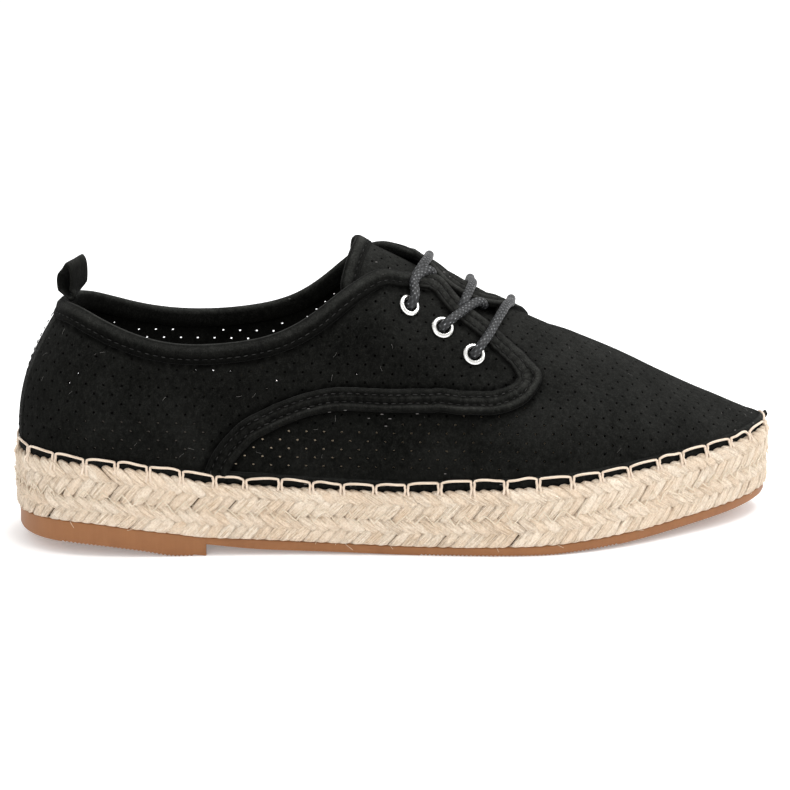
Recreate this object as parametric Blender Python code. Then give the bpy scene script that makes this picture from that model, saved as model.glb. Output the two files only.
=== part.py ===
"""Perforated lace-up espadrille shoe for the right foot, empty and unbent, standing on its sole.

The shoe is put together the way it is sewn: a tan rubber outsole with a low heel, two plaited jute
rows on top of it, a footbed, one hollow suede upper that is open at the collar, the throat and
underneath, a tongue, a pull loop, six metal eyelets and the crossings of the lace.

Frame: +X points to the toe, -Y to the outer (lateral) side, +Y to the inner (medial) side, +Z up.
The ground is z = 0. All sizes below are in millimetres; MM turns them into metres.
"""

import math

import bmesh
import bpy
import numpy as np
from mathutils import Vector

MM = 0.001

# ------------------------------------------------------------------ driving dimensions
LENGTH = 264.0            # sole, heel back to toe tip
BALL_WIDTH = 92.5         # sole at the ball of the foot
INSTEP_HEIGHT = 94.5      # ground to the top of the instep, at the front of the collar
GAP = 0.3                 # between curved pieces that touch on the real shoe
FOOT_GAP = 0.5            # under the foot of the upper, whose facets differ from the platform's

WALL = 2.0                # upper
TONGUE_THICKNESS = 1.6
FOOTBED_THICKNESS = 3.0
OUTSOLE_INSET = 1.2       # the rubber stays behind the widest line of the jute
FEATHER_INSET = 2.8       # the foot of the upper stays behind it too
JUTE_ROUNDING = 2.4       # how far a plaited row rounds back at its top and bottom
BREAST = -68.8            # front face of the heel

EYELET_FLANGE = 7.7       # outer diameter
EYELET_BORE = 4.3
EYELET_BARREL = 5.2
LACE_DIAMETER = 3.2

# The tables are drawn for a sole of 264 x 92.5 and an instep of 94.5; these carry them to other sizes.
SX = LENGTH / 264.0
SY = BALL_WIDTH / 92.5
SZ = INSTEP_HEIGHT / 94.5
MIDDLE_Y = 1.05           # moves the middle of the whole shoe to y = 0

# Plan of the sole from above, one row per landmark from heel to toe.
OUTLINE = (
    # along, lateral, medial
    (-132.0, 0.0, 0.0),       # heel back
    (-123.5, -20.5, 20.0),
    (-103.0, -30.2, 29.6),    # heel seat
    (-70.0, -33.6, 32.6),     # breast
    (-30.0, -37.2, 30.4),     # waist
    (10.0, -43.6, 38.2),
    (48.0, -47.3, 45.2),      # ball
    (76.0, -40.6, 42.6),
    (101.0, -29.4, 33.0),
    (121.0, -17.2, 18.0),     # toe shoulder
    (132.0, 0.6, 0.6),        # toe tip
)

# Side view of the sole, one row per station from heel to toe.
SOLE_HEIGHTS = (
    # along, tread, outsole top, platform top
    (-132.0, 4.6, 11.6, 31.9),
    (-118.0, 4.3, 12.0, 31.5),
    (-104.0, 3.5, 11.3, 30.6),
    (-91.0, 2.0, 9.6, 29.2),
    (-78.0, 0.0, 7.9, 27.4),
    (-70.0, 0.0, 6.7, 26.3),
    (-51.0, 2.0, 5.6, 25.1),
    (-25.0, 0.9, 4.2, 23.4),
    (-3.0, 0.2, 3.4, 22.5),
    (10.0, 0.0, 3.2, 22.9),
    (42.0, 0.0, 3.6, 24.4),
    (60.0, 0.8, 4.5, 25.5),
    (78.0, 2.0, 5.6, 26.8),
    (95.0, 3.5, 7.0, 27.9),
    (112.0, 5.1, 8.5, 29.6),
    (132.0, 7.2, 10.2, 32.2),
)
SHANK_TREAD = 4.0         # underside of the shank just in front of the heel breast

# The last, one row per rib of the upper. A rib starts at the foot line, `foot` along the sole, and
# climbs to the collar or to the ridge of the vamp, `top` along the sole. `roll` is the angle at which
# it arrives there: 0 is upright, 90 lies flat. `low` and `high` are the lengths of its two Bezier
# handles as parts of its chord.
RIBS = (
    # foot, top, lateral y, z, medial y, z, roll, low, high
    (-129.2, -113.0, 0.0, 81.5, 0.0, 81.5, 32.0, 0.46, 0.28),     # back seam
    (-124.0, -109.0, -12.0, 82.0, 12.0, 81.5, 27.0, 0.45, 0.28),
    (-111.0, -100.5, -20.5, 78.8, 20.5, 78.6, 18.0, 0.42, 0.28),
    (-95.0, -88.5, -25.8, 74.2, 26.0, 74.0, 12.0, 0.40, 0.28),
    (-78.0, -75.0, -28.2, 71.6, 28.0, 71.2, 9.0, 0.38, 0.30),     # lowest line of the collar
    (-62.0, -60.5, -28.7, 71.7, 28.7, 70.5, 10.0, 0.37, 0.30),
    (-47.0, -46.0, -28.0, 73.8, 28.3, 71.8, 14.0, 0.36, 0.30),
    (-34.0, -33.0, -26.0, 79.4, 26.8, 75.6, 20.0, 0.36, 0.30),
    (-22.0, -21.5, -23.2, 87.2, 24.2, 83.4, 28.0, 0.36, 0.30),
    (-11.0, -11.5, -20.4, 92.8, 20.4, 92.0, 42.0, 0.35, 0.30),    # front of the collar
    (-1.0, -3.0, -11.5, 95.8, 11.5, 96.0, 66.0, 0.34, 0.30),
    (9.0, 5.0, 0.0, 94.3, 0.0, 94.3, 90.0, 0.34, 0.30),           # instep, from here on the ridge
    (20.0, 16.0, -0.6, 88.3, -0.6, 88.3, 90.0, 0.34, 0.31),
    (34.0, 31.0, -0.8, 79.4, -0.8, 79.4, 90.0, 0.33, 0.33),
    (50.0, 47.0, -0.4, 70.8, -0.4, 70.8, 90.0, 0.32, 0.36),       # throat
    (66.0, 63.0, 0.0, 64.0, 0.0, 64.0, 90.0, 0.30, 0.39),
    (81.0, 78.0, 0.4, 57.3, 0.4, 57.3, 90.0, 0.28, 0.41),
    (96.0, 92.0, 0.6, 50.2, 0.6, 50.2, 90.0, 0.26, 0.42),
    (109.0, 104.0, 0.7, 44.4, 0.7, 44.4, 90.0, 0.25, 0.42),
    (120.0, 113.5, 0.7, 40.2, 0.7, 40.2, 90.0, 0.24, 0.40),
    (126.5, 120.0, 0.7, 37.1, 0.7, 37.1, 90.0, 0.24, 0.36),
    (129.1, 124.5, 0.7, 34.9, 0.7, 34.9, 90.0, 0.24, 0.30),       # toe tip
)
INSTEP_RIB = 11           # first row whose top lies on the ridge
OUTWARD_LEAN = 3.0        # degrees, every rib where it leaves the foot line


# ------------------------------------------------------------------ curves
def closed_spline(knots, values, period, query):
    """Smooth closed curve through `values` at `knots`, read at `query` (both in 0..period)."""
    n = len(knots)
    step = np.diff(np.append(knots, knots[0] + period))
    matrix = np.zeros((n, n))
    right = np.zeros_like(values)
    for i in range(n):
        before, after = step[i - 1], step[i]
        nxt = (i + 1) % n
        matrix[i, i - 1] += after
        matrix[i, i] += 2.0 * (before + after)
        matrix[i, nxt] += before
        rise_in = (values[i] - values[i - 1]) / before
        rise_out = (values[nxt] - values[i]) / after
        right[i] = 3.0 * (after * rise_in + before * rise_out)
    slope = np.linalg.solve(matrix, right)
    where = np.mod(query, period)
    i = np.searchsorted(knots, where, side="right") - 1
    nxt = (i + 1) % n
    h = step[i]
    s = (where - knots[i]) / h
    shape = (-1,) + (1,) * (values.ndim - 1)
    s, h = s.reshape(shape), h.reshape(shape)
    return ((2 * s**3 - 3 * s**2 + 1) * values[i] + (s**3 - 2 * s**2 + s) * h * slope[i]
            + (3 * s**2 - 2 * s**3) * values[nxt] + (s**3 - s**2) * h * slope[nxt])


def even_curve(xs, ys, x):
    """Curve through a table that never overshoots its rows, so flat rows stay flat."""
    xs, ys = np.asarray(xs, float), np.asarray(ys, float)
    step = np.diff(xs)
    rise = np.diff(ys) / step
    slope = np.zeros(len(xs))
    for i in range(1, len(xs) - 1):
        if rise[i - 1] * rise[i] > 0.0:
            a, b = 2 * step[i] + step[i - 1], step[i] + 2 * step[i - 1]
            slope[i] = (a + b) / (a / rise[i - 1] + b / rise[i])
    slope[0], slope[-1] = rise[0], rise[-1]
    x = np.clip(x, xs[0], xs[-1])
    i = np.clip(np.searchsorted(xs, x, side="right") - 1, 0, len(step) - 1)
    s, h = (x - xs[i]) / step[i], step[i]
    return ((2 * s**3 - 3 * s**2 + 1) * ys[i] + (s**3 - 2 * s**2 + s) * h * slope[i]
            + (3 * s**2 - 2 * s**3) * ys[i + 1] + (s**3 - s**2) * h * slope[i + 1])


# ------------------------------------------------------------------ plan of the sole
OUTLINE_SAMPLES = 1440


def sole_outline():
    """Closed plan curve, from the heel back along the lateral side to the toe and back medially."""
    rows = np.array(OUTLINE)
    lateral = rows[:, (0, 1)]
    medial = rows[-2:0:-1, (0, 2)]
    points = np.vstack((lateral, medial)) * (SX, SY)
    chords = np.linalg.norm(np.roll(points, -1, axis=0) - points, axis=1)
    knots = np.concatenate(((0.0,), np.cumsum(chords)[:-1]))
    period = chords.sum()
    return closed_spline(knots, points, period, np.linspace(0.0, period, OUTLINE_SAMPLES, endpoint=False))


def inset_outline(inset):
    """The plan curve moved inwards by `inset`, starting at its rearmost point."""
    curve = sole_outline()
    tangent = np.roll(curve, -1, axis=0) - np.roll(curve, 1, axis=0)
    tangent /= np.linalg.norm(tangent, axis=1)[:, None]
    inward = np.column_stack((-tangent[:, 1], tangent[:, 0]))
    moved = curve + inward * inset
    return np.roll(moved, -int(np.argmin(moved[:, 0])), axis=0)


def split_outline(inset):
    """The inset plan curve as a lateral and a medial branch, both from heel to toe."""
    curve = inset_outline(inset)
    toe = int(np.argmax(curve[:, 0]))
    lateral = curve[:toe + 1]
    medial = np.vstack((curve[toe:], curve[:1]))[::-1]
    return lateral, medial


def sole_height(column, x):
    rows = np.array(SOLE_HEIGHTS)
    return even_curve(rows[:, 0] * SX, rows[:, column], x)


def tread_height(x):
    """Underside of the outsole: heel, step at the breast, shank, flat forefoot, toe spring."""
    heel = sole_height(1, x)
    rows = np.array([row for row in SOLE_HEIGHTS if row[0] > BREAST])
    shank = even_curve(np.append(BREAST, rows[:, 0]) * SX, np.append(SHANK_TREAD, rows[:, 1]), x)
    return np.where(x <= BREAST * SX, heel, shank)


def outsole_top(x):
    return sole_height(2, x)


def platform_top(x):
    return sole_height(3, x)


# ------------------------------------------------------------------ meshes
def new_object(name, vertices, faces, material, smooth_angle=None):
    mesh = bpy.data.meshes.new(name)
    mesh.from_pydata((np.asarray(vertices, float) * MM).tolist(), [], faces)
    mesh.validate()
    work = bmesh.new()
    work.from_mesh(mesh)
    bmesh.ops.recalc_face_normals(work, faces=work.faces)
    work.to_mesh(mesh)
    work.free()
    mesh.materials.append(material)
    if smooth_angle is not None:
        mesh.shade_smooth()
        mesh.set_sharp_from_angle(angle=math.radians(smooth_angle))
    obj = bpy.data.objects.new(name, mesh)
    bpy.context.collection.objects.link(obj)
    return obj


def plain_material(name, color, roughness, metallic=0.0):
    material = bpy.data.materials.new(name)
    material.use_nodes = True
    shader = material.node_tree.nodes["Principled BSDF"]
    shader.inputs["Base Color"].default_value = (*color, 1.0)
    shader.inputs["Roughness"].default_value = roughness
    shader.inputs["Metallic"].default_value = metallic
    return material


def stations(count, breaks=()):
    """Places from 0 at the heel to 1 at the toe, close together where the plan curve turns."""
    even = [(1.0 - math.cos(math.pi * k / count)) / 2.0 for k in range(count + 1)]
    kept = [s for s in even if all(abs(s - b) > 0.4 / count for b in breaks)]
    return sorted(kept + list(breaks))


def slab(name, levels, places, material):
    """A closed layer. A level is (lateral and medial outline, height function), lowest first."""
    vertices, rings = [], []
    for (lateral, medial), height in levels:
        x = lateral[0, 0] + (lateral[-1, 0] - lateral[0, 0]) * np.array(places)
        z = height(x)
        sides = []
        for branch in (lateral, medial):
            order = np.argsort(branch[:, 0])
            y = np.interp(x, branch[order, 0], branch[order, 1])
            y[0], y[-1] = branch[0, 1], branch[-1, 1]
            sides.append(y)
        first = len(vertices)
        count = len(places)
        vertices += [(x[k], sides[0][k], z[k]) for k in range(count)]
        vertices += [(x[k], sides[1][k], z[k]) for k in range(1, count - 1)]
        outer = [first + k for k in range(count)]
        inner = [first] + [first + count + k - 1 for k in range(1, count - 1)] + [first + count - 1]
        rings.append((outer, inner))
    faces = []
    for low, high in zip(rings, rings[1:]):
        for side in (0, 1):
            for k in range(len(places) - 1):
                faces.append((low[side][k], low[side][k + 1], high[side][k + 1], high[side][k]))
    for outer, inner in (rings[0], rings[-1]):
        for k in range(len(places) - 1):
            corners = (outer[k], outer[k + 1], inner[k + 1], inner[k])
            faces.append(tuple(dict.fromkeys(corners)))
    return new_object(name, vertices, faces, material, 35.0)


# ------------------------------------------------------------------ the last
class Last:
    """Outer surface of the upper, as points at (q, v).

    q goes round the shoe in rows of RIBS: 0 at the back seam, forward on the lateral side to `toe`
    at the toe tip, and back on the medial side to `period`. v runs up a rib from 0 to 1.
    """

    def __init__(self):
        curve = inset_outline(FEATHER_INSET)
        chords = np.linalg.norm(np.roll(curve, -1, axis=0) - curve, axis=1)
        self.curve = curve
        self.arc = np.concatenate(((0.0,), np.cumsum(chords)[:-1]))
        self.perimeter = chords.sum()
        tip = int(np.argmax(curve[:, 0]))
        rows = np.array(RIBS)
        self.toe = len(rows) - 1.0
        self.period = 2.0 * self.toe
        foot = rows[:, 0] * SX
        lateral = np.interp(foot, curve[:tip + 1, 0], self.arc[:tip + 1])
        medial = np.interp(foot, curve[tip:, 0][::-1], self.arc[tip:][::-1])
        lateral[0], lateral[-1] = 0.0, self.arc[tip]
        ring_foot = np.concatenate((lateral, medial[-2:0:-1]))
        lateral_top = rows[:, (1, 2, 3)] * (SX, SY, SZ)
        medial_top = rows[:, (1, 4, 5)] * (SX, SY, SZ)
        shape = rows[:, (6, 7, 8)]
        ring_top = np.vstack((lateral_top, medial_top[-2:0:-1]))
        ring_shape = np.vstack((shape, shape[-2:0:-1]))
        self.knots = np.arange(len(ring_foot), dtype=float)
        drift = ring_foot - self.perimeter * self.knots / self.period
        self.columns = np.column_stack((drift, ring_top, ring_shape))
        self.ridge_rows = lateral_top[INSTEP_RIB:]

    def ridge(self, x):
        """Height and sideways place of the ridge above x."""
        rows = self.ridge_rows
        return even_curve(rows[:, 0], rows[:, 1], x), even_curve(rows[:, 0], rows[:, 2], x)

    def foot_curve(self, arc):
        x = np.interp(arc, self.arc, self.curve[:, 0], period=self.perimeter)
        y = np.interp(arc, self.arc, self.curve[:, 1], period=self.perimeter)
        return np.column_stack((x, y))

    def ribs(self, q):
        """Bezier control points (count, 4, 3) of the ribs at q."""
        q = np.mod(np.atleast_1d(np.asarray(q, float)), self.period)
        values = closed_spline(self.knots, self.columns, self.period, q)
        arc = values[:, 0] + self.perimeter * q / self.period
        plan = self.foot_curve(arc)
        along = self.foot_curve(arc + 3.0) - self.foot_curve(arc - 3.0)
        along /= np.linalg.norm(along, axis=1)[:, None]
        inward = np.column_stack((-along[:, 1], along[:, 0]))
        foot = np.column_stack((plan, platform_top(plan[:, 0]) + FOOT_GAP))
        top = values[:, 1:4].copy()
        on_ridge = np.minimum(q, self.period - q) >= INSTEP_RIB
        ridge_y, ridge_z = self.ridge(top[:, 0])
        top[on_ridge, 1] = ridge_y[on_ridge]
        top[on_ridge, 2] = ridge_z[on_ridge]
        fall = (self.ridge(top[:, 0] + 1.0)[1] - self.ridge(top[:, 0] - 1.0)[1]) / 2.0
        fall = np.where(on_ridge, fall, 0.0)
        across = np.column_stack((inward, inward[:, 0] * fall))
        across /= np.linalg.norm(across, axis=1)[:, None]
        roll = np.radians(values[:, 4])
        arrive = across * np.sin(roll)[:, None]
        arrive[:, 2] += np.cos(roll)
        lean = math.radians(OUTWARD_LEAN)
        leave = np.column_stack((-inward * math.sin(lean), np.full(len(q), math.cos(lean))))
        chord = np.linalg.norm(top - foot, axis=1)
        low = foot + leave * (values[:, 5] * chord)[:, None]
        high = top - arrive * (values[:, 6] * chord)[:, None]
        return np.stack((foot, low, high, top), axis=1)

    def points(self, q, v):
        """Surface points at matching lists q and v."""
        ribs = self.ribs(q)
        v = np.atleast_1d(np.asarray(v, float))[:, None]
        return ((1 - v)**3 * ribs[:, 0] + 3 * v * (1 - v)**2 * ribs[:, 1]
                + 3 * v**2 * (1 - v) * ribs[:, 2] + v**3 * ribs[:, 3])

    def normals(self, q, v):
        """Outward unit normals at matching lists q and v."""
        q = np.atleast_1d(np.asarray(q, float))
        v = np.atleast_1d(np.asarray(v, float))
        v = np.where(np.abs(q - self.toe) < 0.01, np.minimum(v, 0.96), v)   # the ribs meet there
        along = self.points(q + 0.02, v) - self.points(q - 0.02, v)
        up = self.points(q, v + 0.005) - self.points(q, v - 0.005)
        normal = np.cross(along, up)
        return normal / np.linalg.norm(normal, axis=1)[:, None]


# ------------------------------------------------------------------ shells
THROAT_START = 9.0        # rib where the near facing leaves the collar
THROAT_END = 13.1         # rib where the throat meets the vamp
FAR_FACING_START = 11.25  # rib where the far facing crosses the ridge

# Edges of the two facings on the lateral ribs, as millimetres down from the ridge.
FACINGS = (
    # rib, near facing, far facing
    (9.0, 0.0, 0.0),
    (9.6, 3.0, 0.0),
    (10.3, 10.0, 0.0),
    (11.0, 13.5, 0.0),
    (11.25, 13.0, 0.0),
    (11.6, 11.5, 3.5),
    (11.9, 12.5, 7.0),
    (12.3, 17.5, 9.0),
    (12.8, 20.5, 10.0),
    (13.1, 20.5, 12.0),
)


def rib_at_depth(last, q, down):
    """The v at which a rib is `down` millimetres of surface below its top."""
    v = np.linspace(0.0, 1.0, 61)
    points = last.points(np.full(61, q), v)
    steps = np.linalg.norm(np.diff(points, axis=0), axis=1)
    depth = np.concatenate((np.cumsum(steps[::-1])[::-1], (0.0,)))
    return float(np.interp(-down, -depth, v))


def zip_rows(left, right):
    """Triangles between two rows of (v, vertex) that run up neighbouring ribs."""
    faces = []
    i = j = 0
    while i < len(left) - 1 or j < len(right) - 1:
        if j == len(right) - 1 or (i < len(left) - 1 and left[i + 1][0] <= right[j + 1][0]):
            faces.append((left[i][1], right[j][1], left[i + 1][1]))
            i += 1
        else:
            faces.append((left[i][1], right[j][1], right[j + 1][1]))
            j += 1
    return [face for face in faces if len(set(face)) == 3]


def thicken(outer, inner, faces):
    """Vertices and faces of a closed wall between two matching lists of points."""
    count = len(outer)
    borders = {}
    for face in faces:
        for a, b in zip(face, face[1:] + face[:1]):
            if (b, a) in borders:
                del borders[(b, a)]
            else:
                borders[(a, b)] = None
    walls = [(b, a, a + count, b + count) for a, b in borders]
    backs = [tuple(i + count for i in reversed(face)) for face in faces]
    return np.vstack((outer, inner)), list(faces) + backs + walls


ROWS = 12                 # up each rib of the upper
STRIP_ROWS = 3            # across the far facing where it lies over the ridge


def make_upper(last, material):
    """Hollow upper: one wall, open at the collar, between the facings and underneath."""
    table = np.array(FACINGS)
    count = int(2 * last.toe)
    throat = sorted({FAR_FACING_START, THROAT_END} | set(np.arange(9.0, THROAT_END, 0.35)))
    plain = [t for t in np.arange(count + 1) / 2.0 if t < THROAT_START or t > THROAT_END + 0.2]
    lateral = sorted(set(plain) | set(throat))
    medial = [t for t in lateral if 0.0 < t < last.toe][::-1]
    where, ring = [], []
    ridge = {}

    def add(q, v):
        where.append((q, v))
        return len(where) - 1

    even = 1.0 - (1.0 - np.arange(ROWS + 1) / ROWS)**1.25    # closer where the rib turns over
    for t in lateral:
        far_run = None
        if THROAT_START < t <= THROAT_END:
            near = rib_at_depth(last, t, even_curve(table[:, 0], table[:, 1], t))
            run = [(near * s, add(t, near * s)) for s in even]
            if t >= FAR_FACING_START:
                far = rib_at_depth(last, t, even_curve(table[:, 0], table[:, 2], t))
                if t == FAR_FACING_START:
                    far_run = [(1.0, add(t, 1.0))]
                else:
                    far_run = [(v, add(t, v)) for v in np.linspace(far, 1.0, STRIP_ROWS + 1)]
                ridge[t] = far_run[-1][1]
        else:
            run = [(s, add(t, s)) for s in even]
            if t > THROAT_END:
                ridge[t] = run[-1][1]
        ring.append((t, run, far_run))
    for t in medial:
        run = [(s, add(last.period - t, s)) for s in even[:-1]]
        top = ridge[t] if t in ridge else add(last.period - t, 1.0)
        ring.append((last.period - t, run + [(1.0, top)], None))
    ring.append((last.period, ring[0][1], None))

    faces = []
    for (_, left, left_far), (_, right, right_far) in zip(ring, ring[1:]):
        if left_far and right_far:
            faces += zip_rows(left, right)
            faces += zip_rows(left_far, right_far)
        elif left_far:
            faces += zip_rows(left + left_far, right)
        else:
            faces += zip_rows(left, right)
    q, v = np.array(where).T
    outer = last.points(q, v)
    inner = outer - last.normals(q, v) * WALL
    on_foot = v == 0.0
    inner[on_foot, 2] = outer[on_foot, 2]
    vertices, faces = thicken(outer, inner, faces)
    return new_object("upper", vertices, faces, material, 50.0)


def footbed_outline(last):
    """Plan of the footbed: as wide as the inside of the upper leaves free over its thickness."""
    sides = []
    for sign in (1, -1):
        branch = []
        for t in np.arange(0.0, last.toe + 0.01, 0.25):
            v = np.linspace(0.0, 1.0, 41)
            q = np.full(41, t if sign > 0 else last.period - t)
            outer = last.points(q, v)
            inner = outer - last.normals(q, v) * WALL
            inner[0, 2] = outer[0, 2]
            clear = platform_top(outer[0, 0]) + FOOTBED_THICKNESS + 3 * GAP
            high = np.nonzero(inner[:, 2] > clear)[0]
            if len(high) == 0:
                break
            inner = inner[:high[0] + 1]
            inward = inner[0, :2] - outer[0, :2]
            inward /= np.linalg.norm(inward)
            reach = (inner[:, :2] - outer[0, :2]) @ inward
            branch.append(outer[0, :2] + inward * (reach.max() + 2 * GAP))
        sides.append(np.array(branch))
    middle = (sides[0][-1] + sides[1][-1]) / 2.0 + (1.0, 0.0)
    return [np.vstack((branch, middle)) for branch in sides]


# ------------------------------------------------------------------ tongue
TONGUE_HALF_WIDTH = 27.0  # along the surface, from the middle of the throat
TONGUE_MIDDLE = 6.0       # the middle of the throat lies this far to the lateral side of the ridge
TONGUE_END = 13.9         # rib under the vamp where the tongue is sewn in
TONGUE_RISE = 27.0        # free end above the front of the collar, along the tongue
TONGUE_ROWS = 12          # along the shoe under the facings
TONGUE_FREE_ROWS = 6
TONGUE_CLEARANCE = 0.8    # from the inside of the facings and the vamp
TONGUE_COLUMNS = 14


def hoop_points(last, t, across):
    """Points and normals over the ridge at rib t; `across` is millimetres from the ridge, medial > 0."""
    places = []
    for a in across:
        q = t if a < 0 else last.period - t
        places.append((q, rib_at_depth(last, q, abs(a))))
    q, v = np.array(places).T
    return last.points(q, v), last.normals(q, v)


def make_tongue(last, material):
    """Sheet under the facings: sewn in below the vamp, free above the collar, bent over the instep."""
    across = np.linspace(-TONGUE_HALF_WIDTH, TONGUE_HALF_WIDTH, TONGUE_COLUMNS + 1) - TONGUE_MIDDLE
    sink = WALL + TONGUE_CLEARANCE
    rows = []
    for t in np.linspace(TONGUE_END, INSTEP_RIB + 0.6, TONGUE_ROWS):
        narrow = 0.86 + 0.14 * (TONGUE_END - t) / (TONGUE_END - INSTEP_RIB)
        points, normals = hoop_points(last, t, across * narrow)
        rows.append((points - normals * sink, normals))
    points, normals = rows[-1]
    middle = points[TONGUE_COLUMNS // 2].copy()
    heading = rows[-1][0].mean(axis=0) - rows[-3][0].mean(axis=0)
    heading /= np.linalg.norm(heading)
    side = (points[:, 1] - middle[1]) / np.abs(points[:, 1] - middle[1]).max()
    for k in range(1, TONGUE_FREE_ROWS + 1):
        s = k / TONGUE_FREE_ROWS
        moved = points + heading * TONGUE_RISE * s
        moved[:, 1] = middle[1] + (moved[:, 1] - middle[1]) * (1.0 - 0.12 * s)
        moved[:, 0] -= 3.0 * s * side**2
        moved[:, 2] -= 4.5 * s * side**2
        rows.append((moved, normals))
    outer = np.vstack([row[0] for row in rows])
    inner = np.vstack([row[0] - row[1] * TONGUE_THICKNESS for row in rows])
    width = TONGUE_COLUMNS + 1
    faces = []
    for r in range(len(rows) - 1):
        for c in range(TONGUE_COLUMNS):
            a = r * width + c
            faces.append((a, a + 1, a + width + 1, a + width))
    vertices, faces = thicken(outer, inner, faces)
    return new_object("tongue", vertices, faces, material, 50.0)


# ------------------------------------------------------------------ fittings
# Where each pair of eyelets sits: rib and millimetres down the rib, on both sides of the ridge.
EYELETS = (
    # lateral rib, down, medial rib, down
    (10.54, 24.9, 11.72, 15.0),
    (11.62, 32.8, 12.72, 16.5),
    (12.34, 37.5, 13.60, 17.0),
)
EYELET_SEGMENTS = 14
LIP_HEIGHT = 1.2          # top of the flange above the suede
LIP_UNDER = 0.35          # underside of the flange above the suede
SEAT = 0.5                # lift that keeps a flange clear of the flat facets under it
HOLE = EYELET_BARREL + 2 * GAP

# Middle line of each lace run from its eyelet: rib and millimetres from the ridge, lateral < 0.
LACE_RUNS = (
    # name, first eyelet (row, side) or None, waypoints, last eyelet (row, side) or None
    ("bar", (2, -1), ((12.62, -30.5), (12.80, -25.6), (12.98, -18.5), (13.17, -11.9), (13.36, -4.0),
                      (13.46, 1.5), (13.54, 7.0)), (2, 1)),
    ("middle_a", (1, -1), ((12.00, -26.3), (12.31, -20.7), (12.55, -16.8), (12.68, -15.0)), None),
    ("middle_b", None, ((12.28, -20.0), (12.38, -14.3), (12.50, -7.5), (12.58, -1.0), (12.66, 5.0)), (1, 1)),
    ("top_a", (0, -1), ((10.58, -17.2), (10.88, -15.9), (11.22, -14.0), (11.42, -12.4)), None),
    ("top_b", None, ((10.88, -17.5), (11.10, -11.5), (11.34, -5.5), (11.48, -0.5), (11.60, 4.5)), (0, 1)),
)
LACE_SIDES = 8


def spot(last, rib, across):
    """Point and outward normal on the surface, `across` millimetres from the ridge of a rib."""
    q = rib if across < 0 else last.period - rib
    v = rib_at_depth(last, q, abs(across))
    return last.points(q, v)[0], last.normals(q, v)[0]


def eyelet_spot(last, row, side):
    """Centre and axis of an eyelet, raised until its flange clears the suede all round."""
    lateral_rib, lateral_down, medial_rib, medial_down = EYELETS[row]
    rib, down = (lateral_rib, lateral_down) if side < 0 else (medial_rib, medial_down)
    centre, axis = spot(last, rib, side * down)
    highest = 0.0
    for across in (-4.0, -2.0, 0.0, 2.0, 4.0):
        for ahead in (-0.32, -0.16, 0.0, 0.16, 0.32):
            near = spot(last, rib + ahead, side * (down + across))[0] - centre
            if np.linalg.norm(near) < EYELET_FLANGE / 2 + 0.6:
                highest = max(highest, float(near @ axis))
    return centre + axis * (highest + SEAT), axis


def turned(profile, segments):
    """Closed ring turned about Z from a closed (radius, height) profile."""
    vertices, faces = [], []
    count = len(profile)
    for k in range(segments):
        a = 2.0 * math.pi * k / segments
        vertices += [(r * math.cos(a), r * math.sin(a), h) for r, h in profile]
        for i in range(count):
            j, n = (i + 1) % count, (k + 1) % segments
            faces.append((k * count + i, k * count + j, n * count + j, n * count + i))
    return vertices, faces


def make_eyelets(last, material):
    bore, barrel, flange = EYELET_BORE / 2, EYELET_BARREL / 2, EYELET_FLANGE / 2
    profile = ((bore, -WALL), (bore, LIP_HEIGHT - 0.3), (bore + 0.3, LIP_HEIGHT - 0.04),
               (flange - 0.6, LIP_HEIGHT - 0.1), (flange, LIP_UNDER + 0.2), (flange - 0.1, LIP_UNDER),
               (barrel, LIP_UNDER), (barrel, -WALL))
    for row in range(len(EYELETS)):
        for side, word in ((-1, "lateral"), (1, "medial")):
            centre, axis = eyelet_spot(last, row, side)
            vertices, faces = turned(profile, EYELET_SEGMENTS)
            eyelet = new_object(f"eyelet_{word}_{row + 1}", vertices, faces, material, 40.0)
            eyelet.location = centre * MM
            eyelet.rotation_euler = Vector(axis).to_track_quat("Z", "Y").to_euler()


def punch_eyelet_holes(last, upper):
    vertices, faces = [], []
    for row in range(len(EYELETS)):
        for side in (-1, 1):
            centre, axis = eyelet_spot(last, row, side)
            first = len(vertices)
            tube_points, tube_faces, caps = plain_tube([centre - axis * 4.0, centre + axis * 2.5],
                                                       HOLE / 2, EYELET_SEGMENTS)
            vertices += list(tube_points)
            faces += [tuple(first + i for i in face) for face in tube_faces + caps]
    cutter = new_object("eyelet_hole_cutter", vertices, faces, upper.data.materials[0])
    cutter.hide_render = True
    cutter.display_type = "WIRE"
    cut = upper.modifiers.new("eyelet_holes", "BOOLEAN")
    cut.operation = "DIFFERENCE"
    cut.solver = "EXACT"
    cut.object = cutter


def plain_tube(path, radius, sides):
    """Round tube along a path: points, side faces and the two caps."""
    path = np.array(path, float)
    along = np.gradient(path, axis=0)
    along /= np.linalg.norm(along, axis=1)[:, None]
    side = np.cross(along[0], (0.31, 0.47, 0.83))
    points = []
    for centre, ahead in zip(path, along):
        side = side - ahead * (side @ ahead)
        side /= np.linalg.norm(side)
        other = np.cross(ahead, side)
        for k in range(sides):
            a = 2.0 * math.pi * k / sides
            points.append(centre + (side * math.cos(a) + other * math.sin(a)) * radius)
    faces = []
    for r in range(len(path) - 1):
        for k in range(sides):
            n = (k + 1) % sides
            faces.append((r * sides + k, r * sides + n, (r + 1) * sides + n, (r + 1) * sides + k))
    last_row = (len(path) - 1) * sides
    caps = [tuple(range(sides))[::-1], tuple(range(last_row, last_row + sides))]
    return np.array(points), faces, caps


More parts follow.
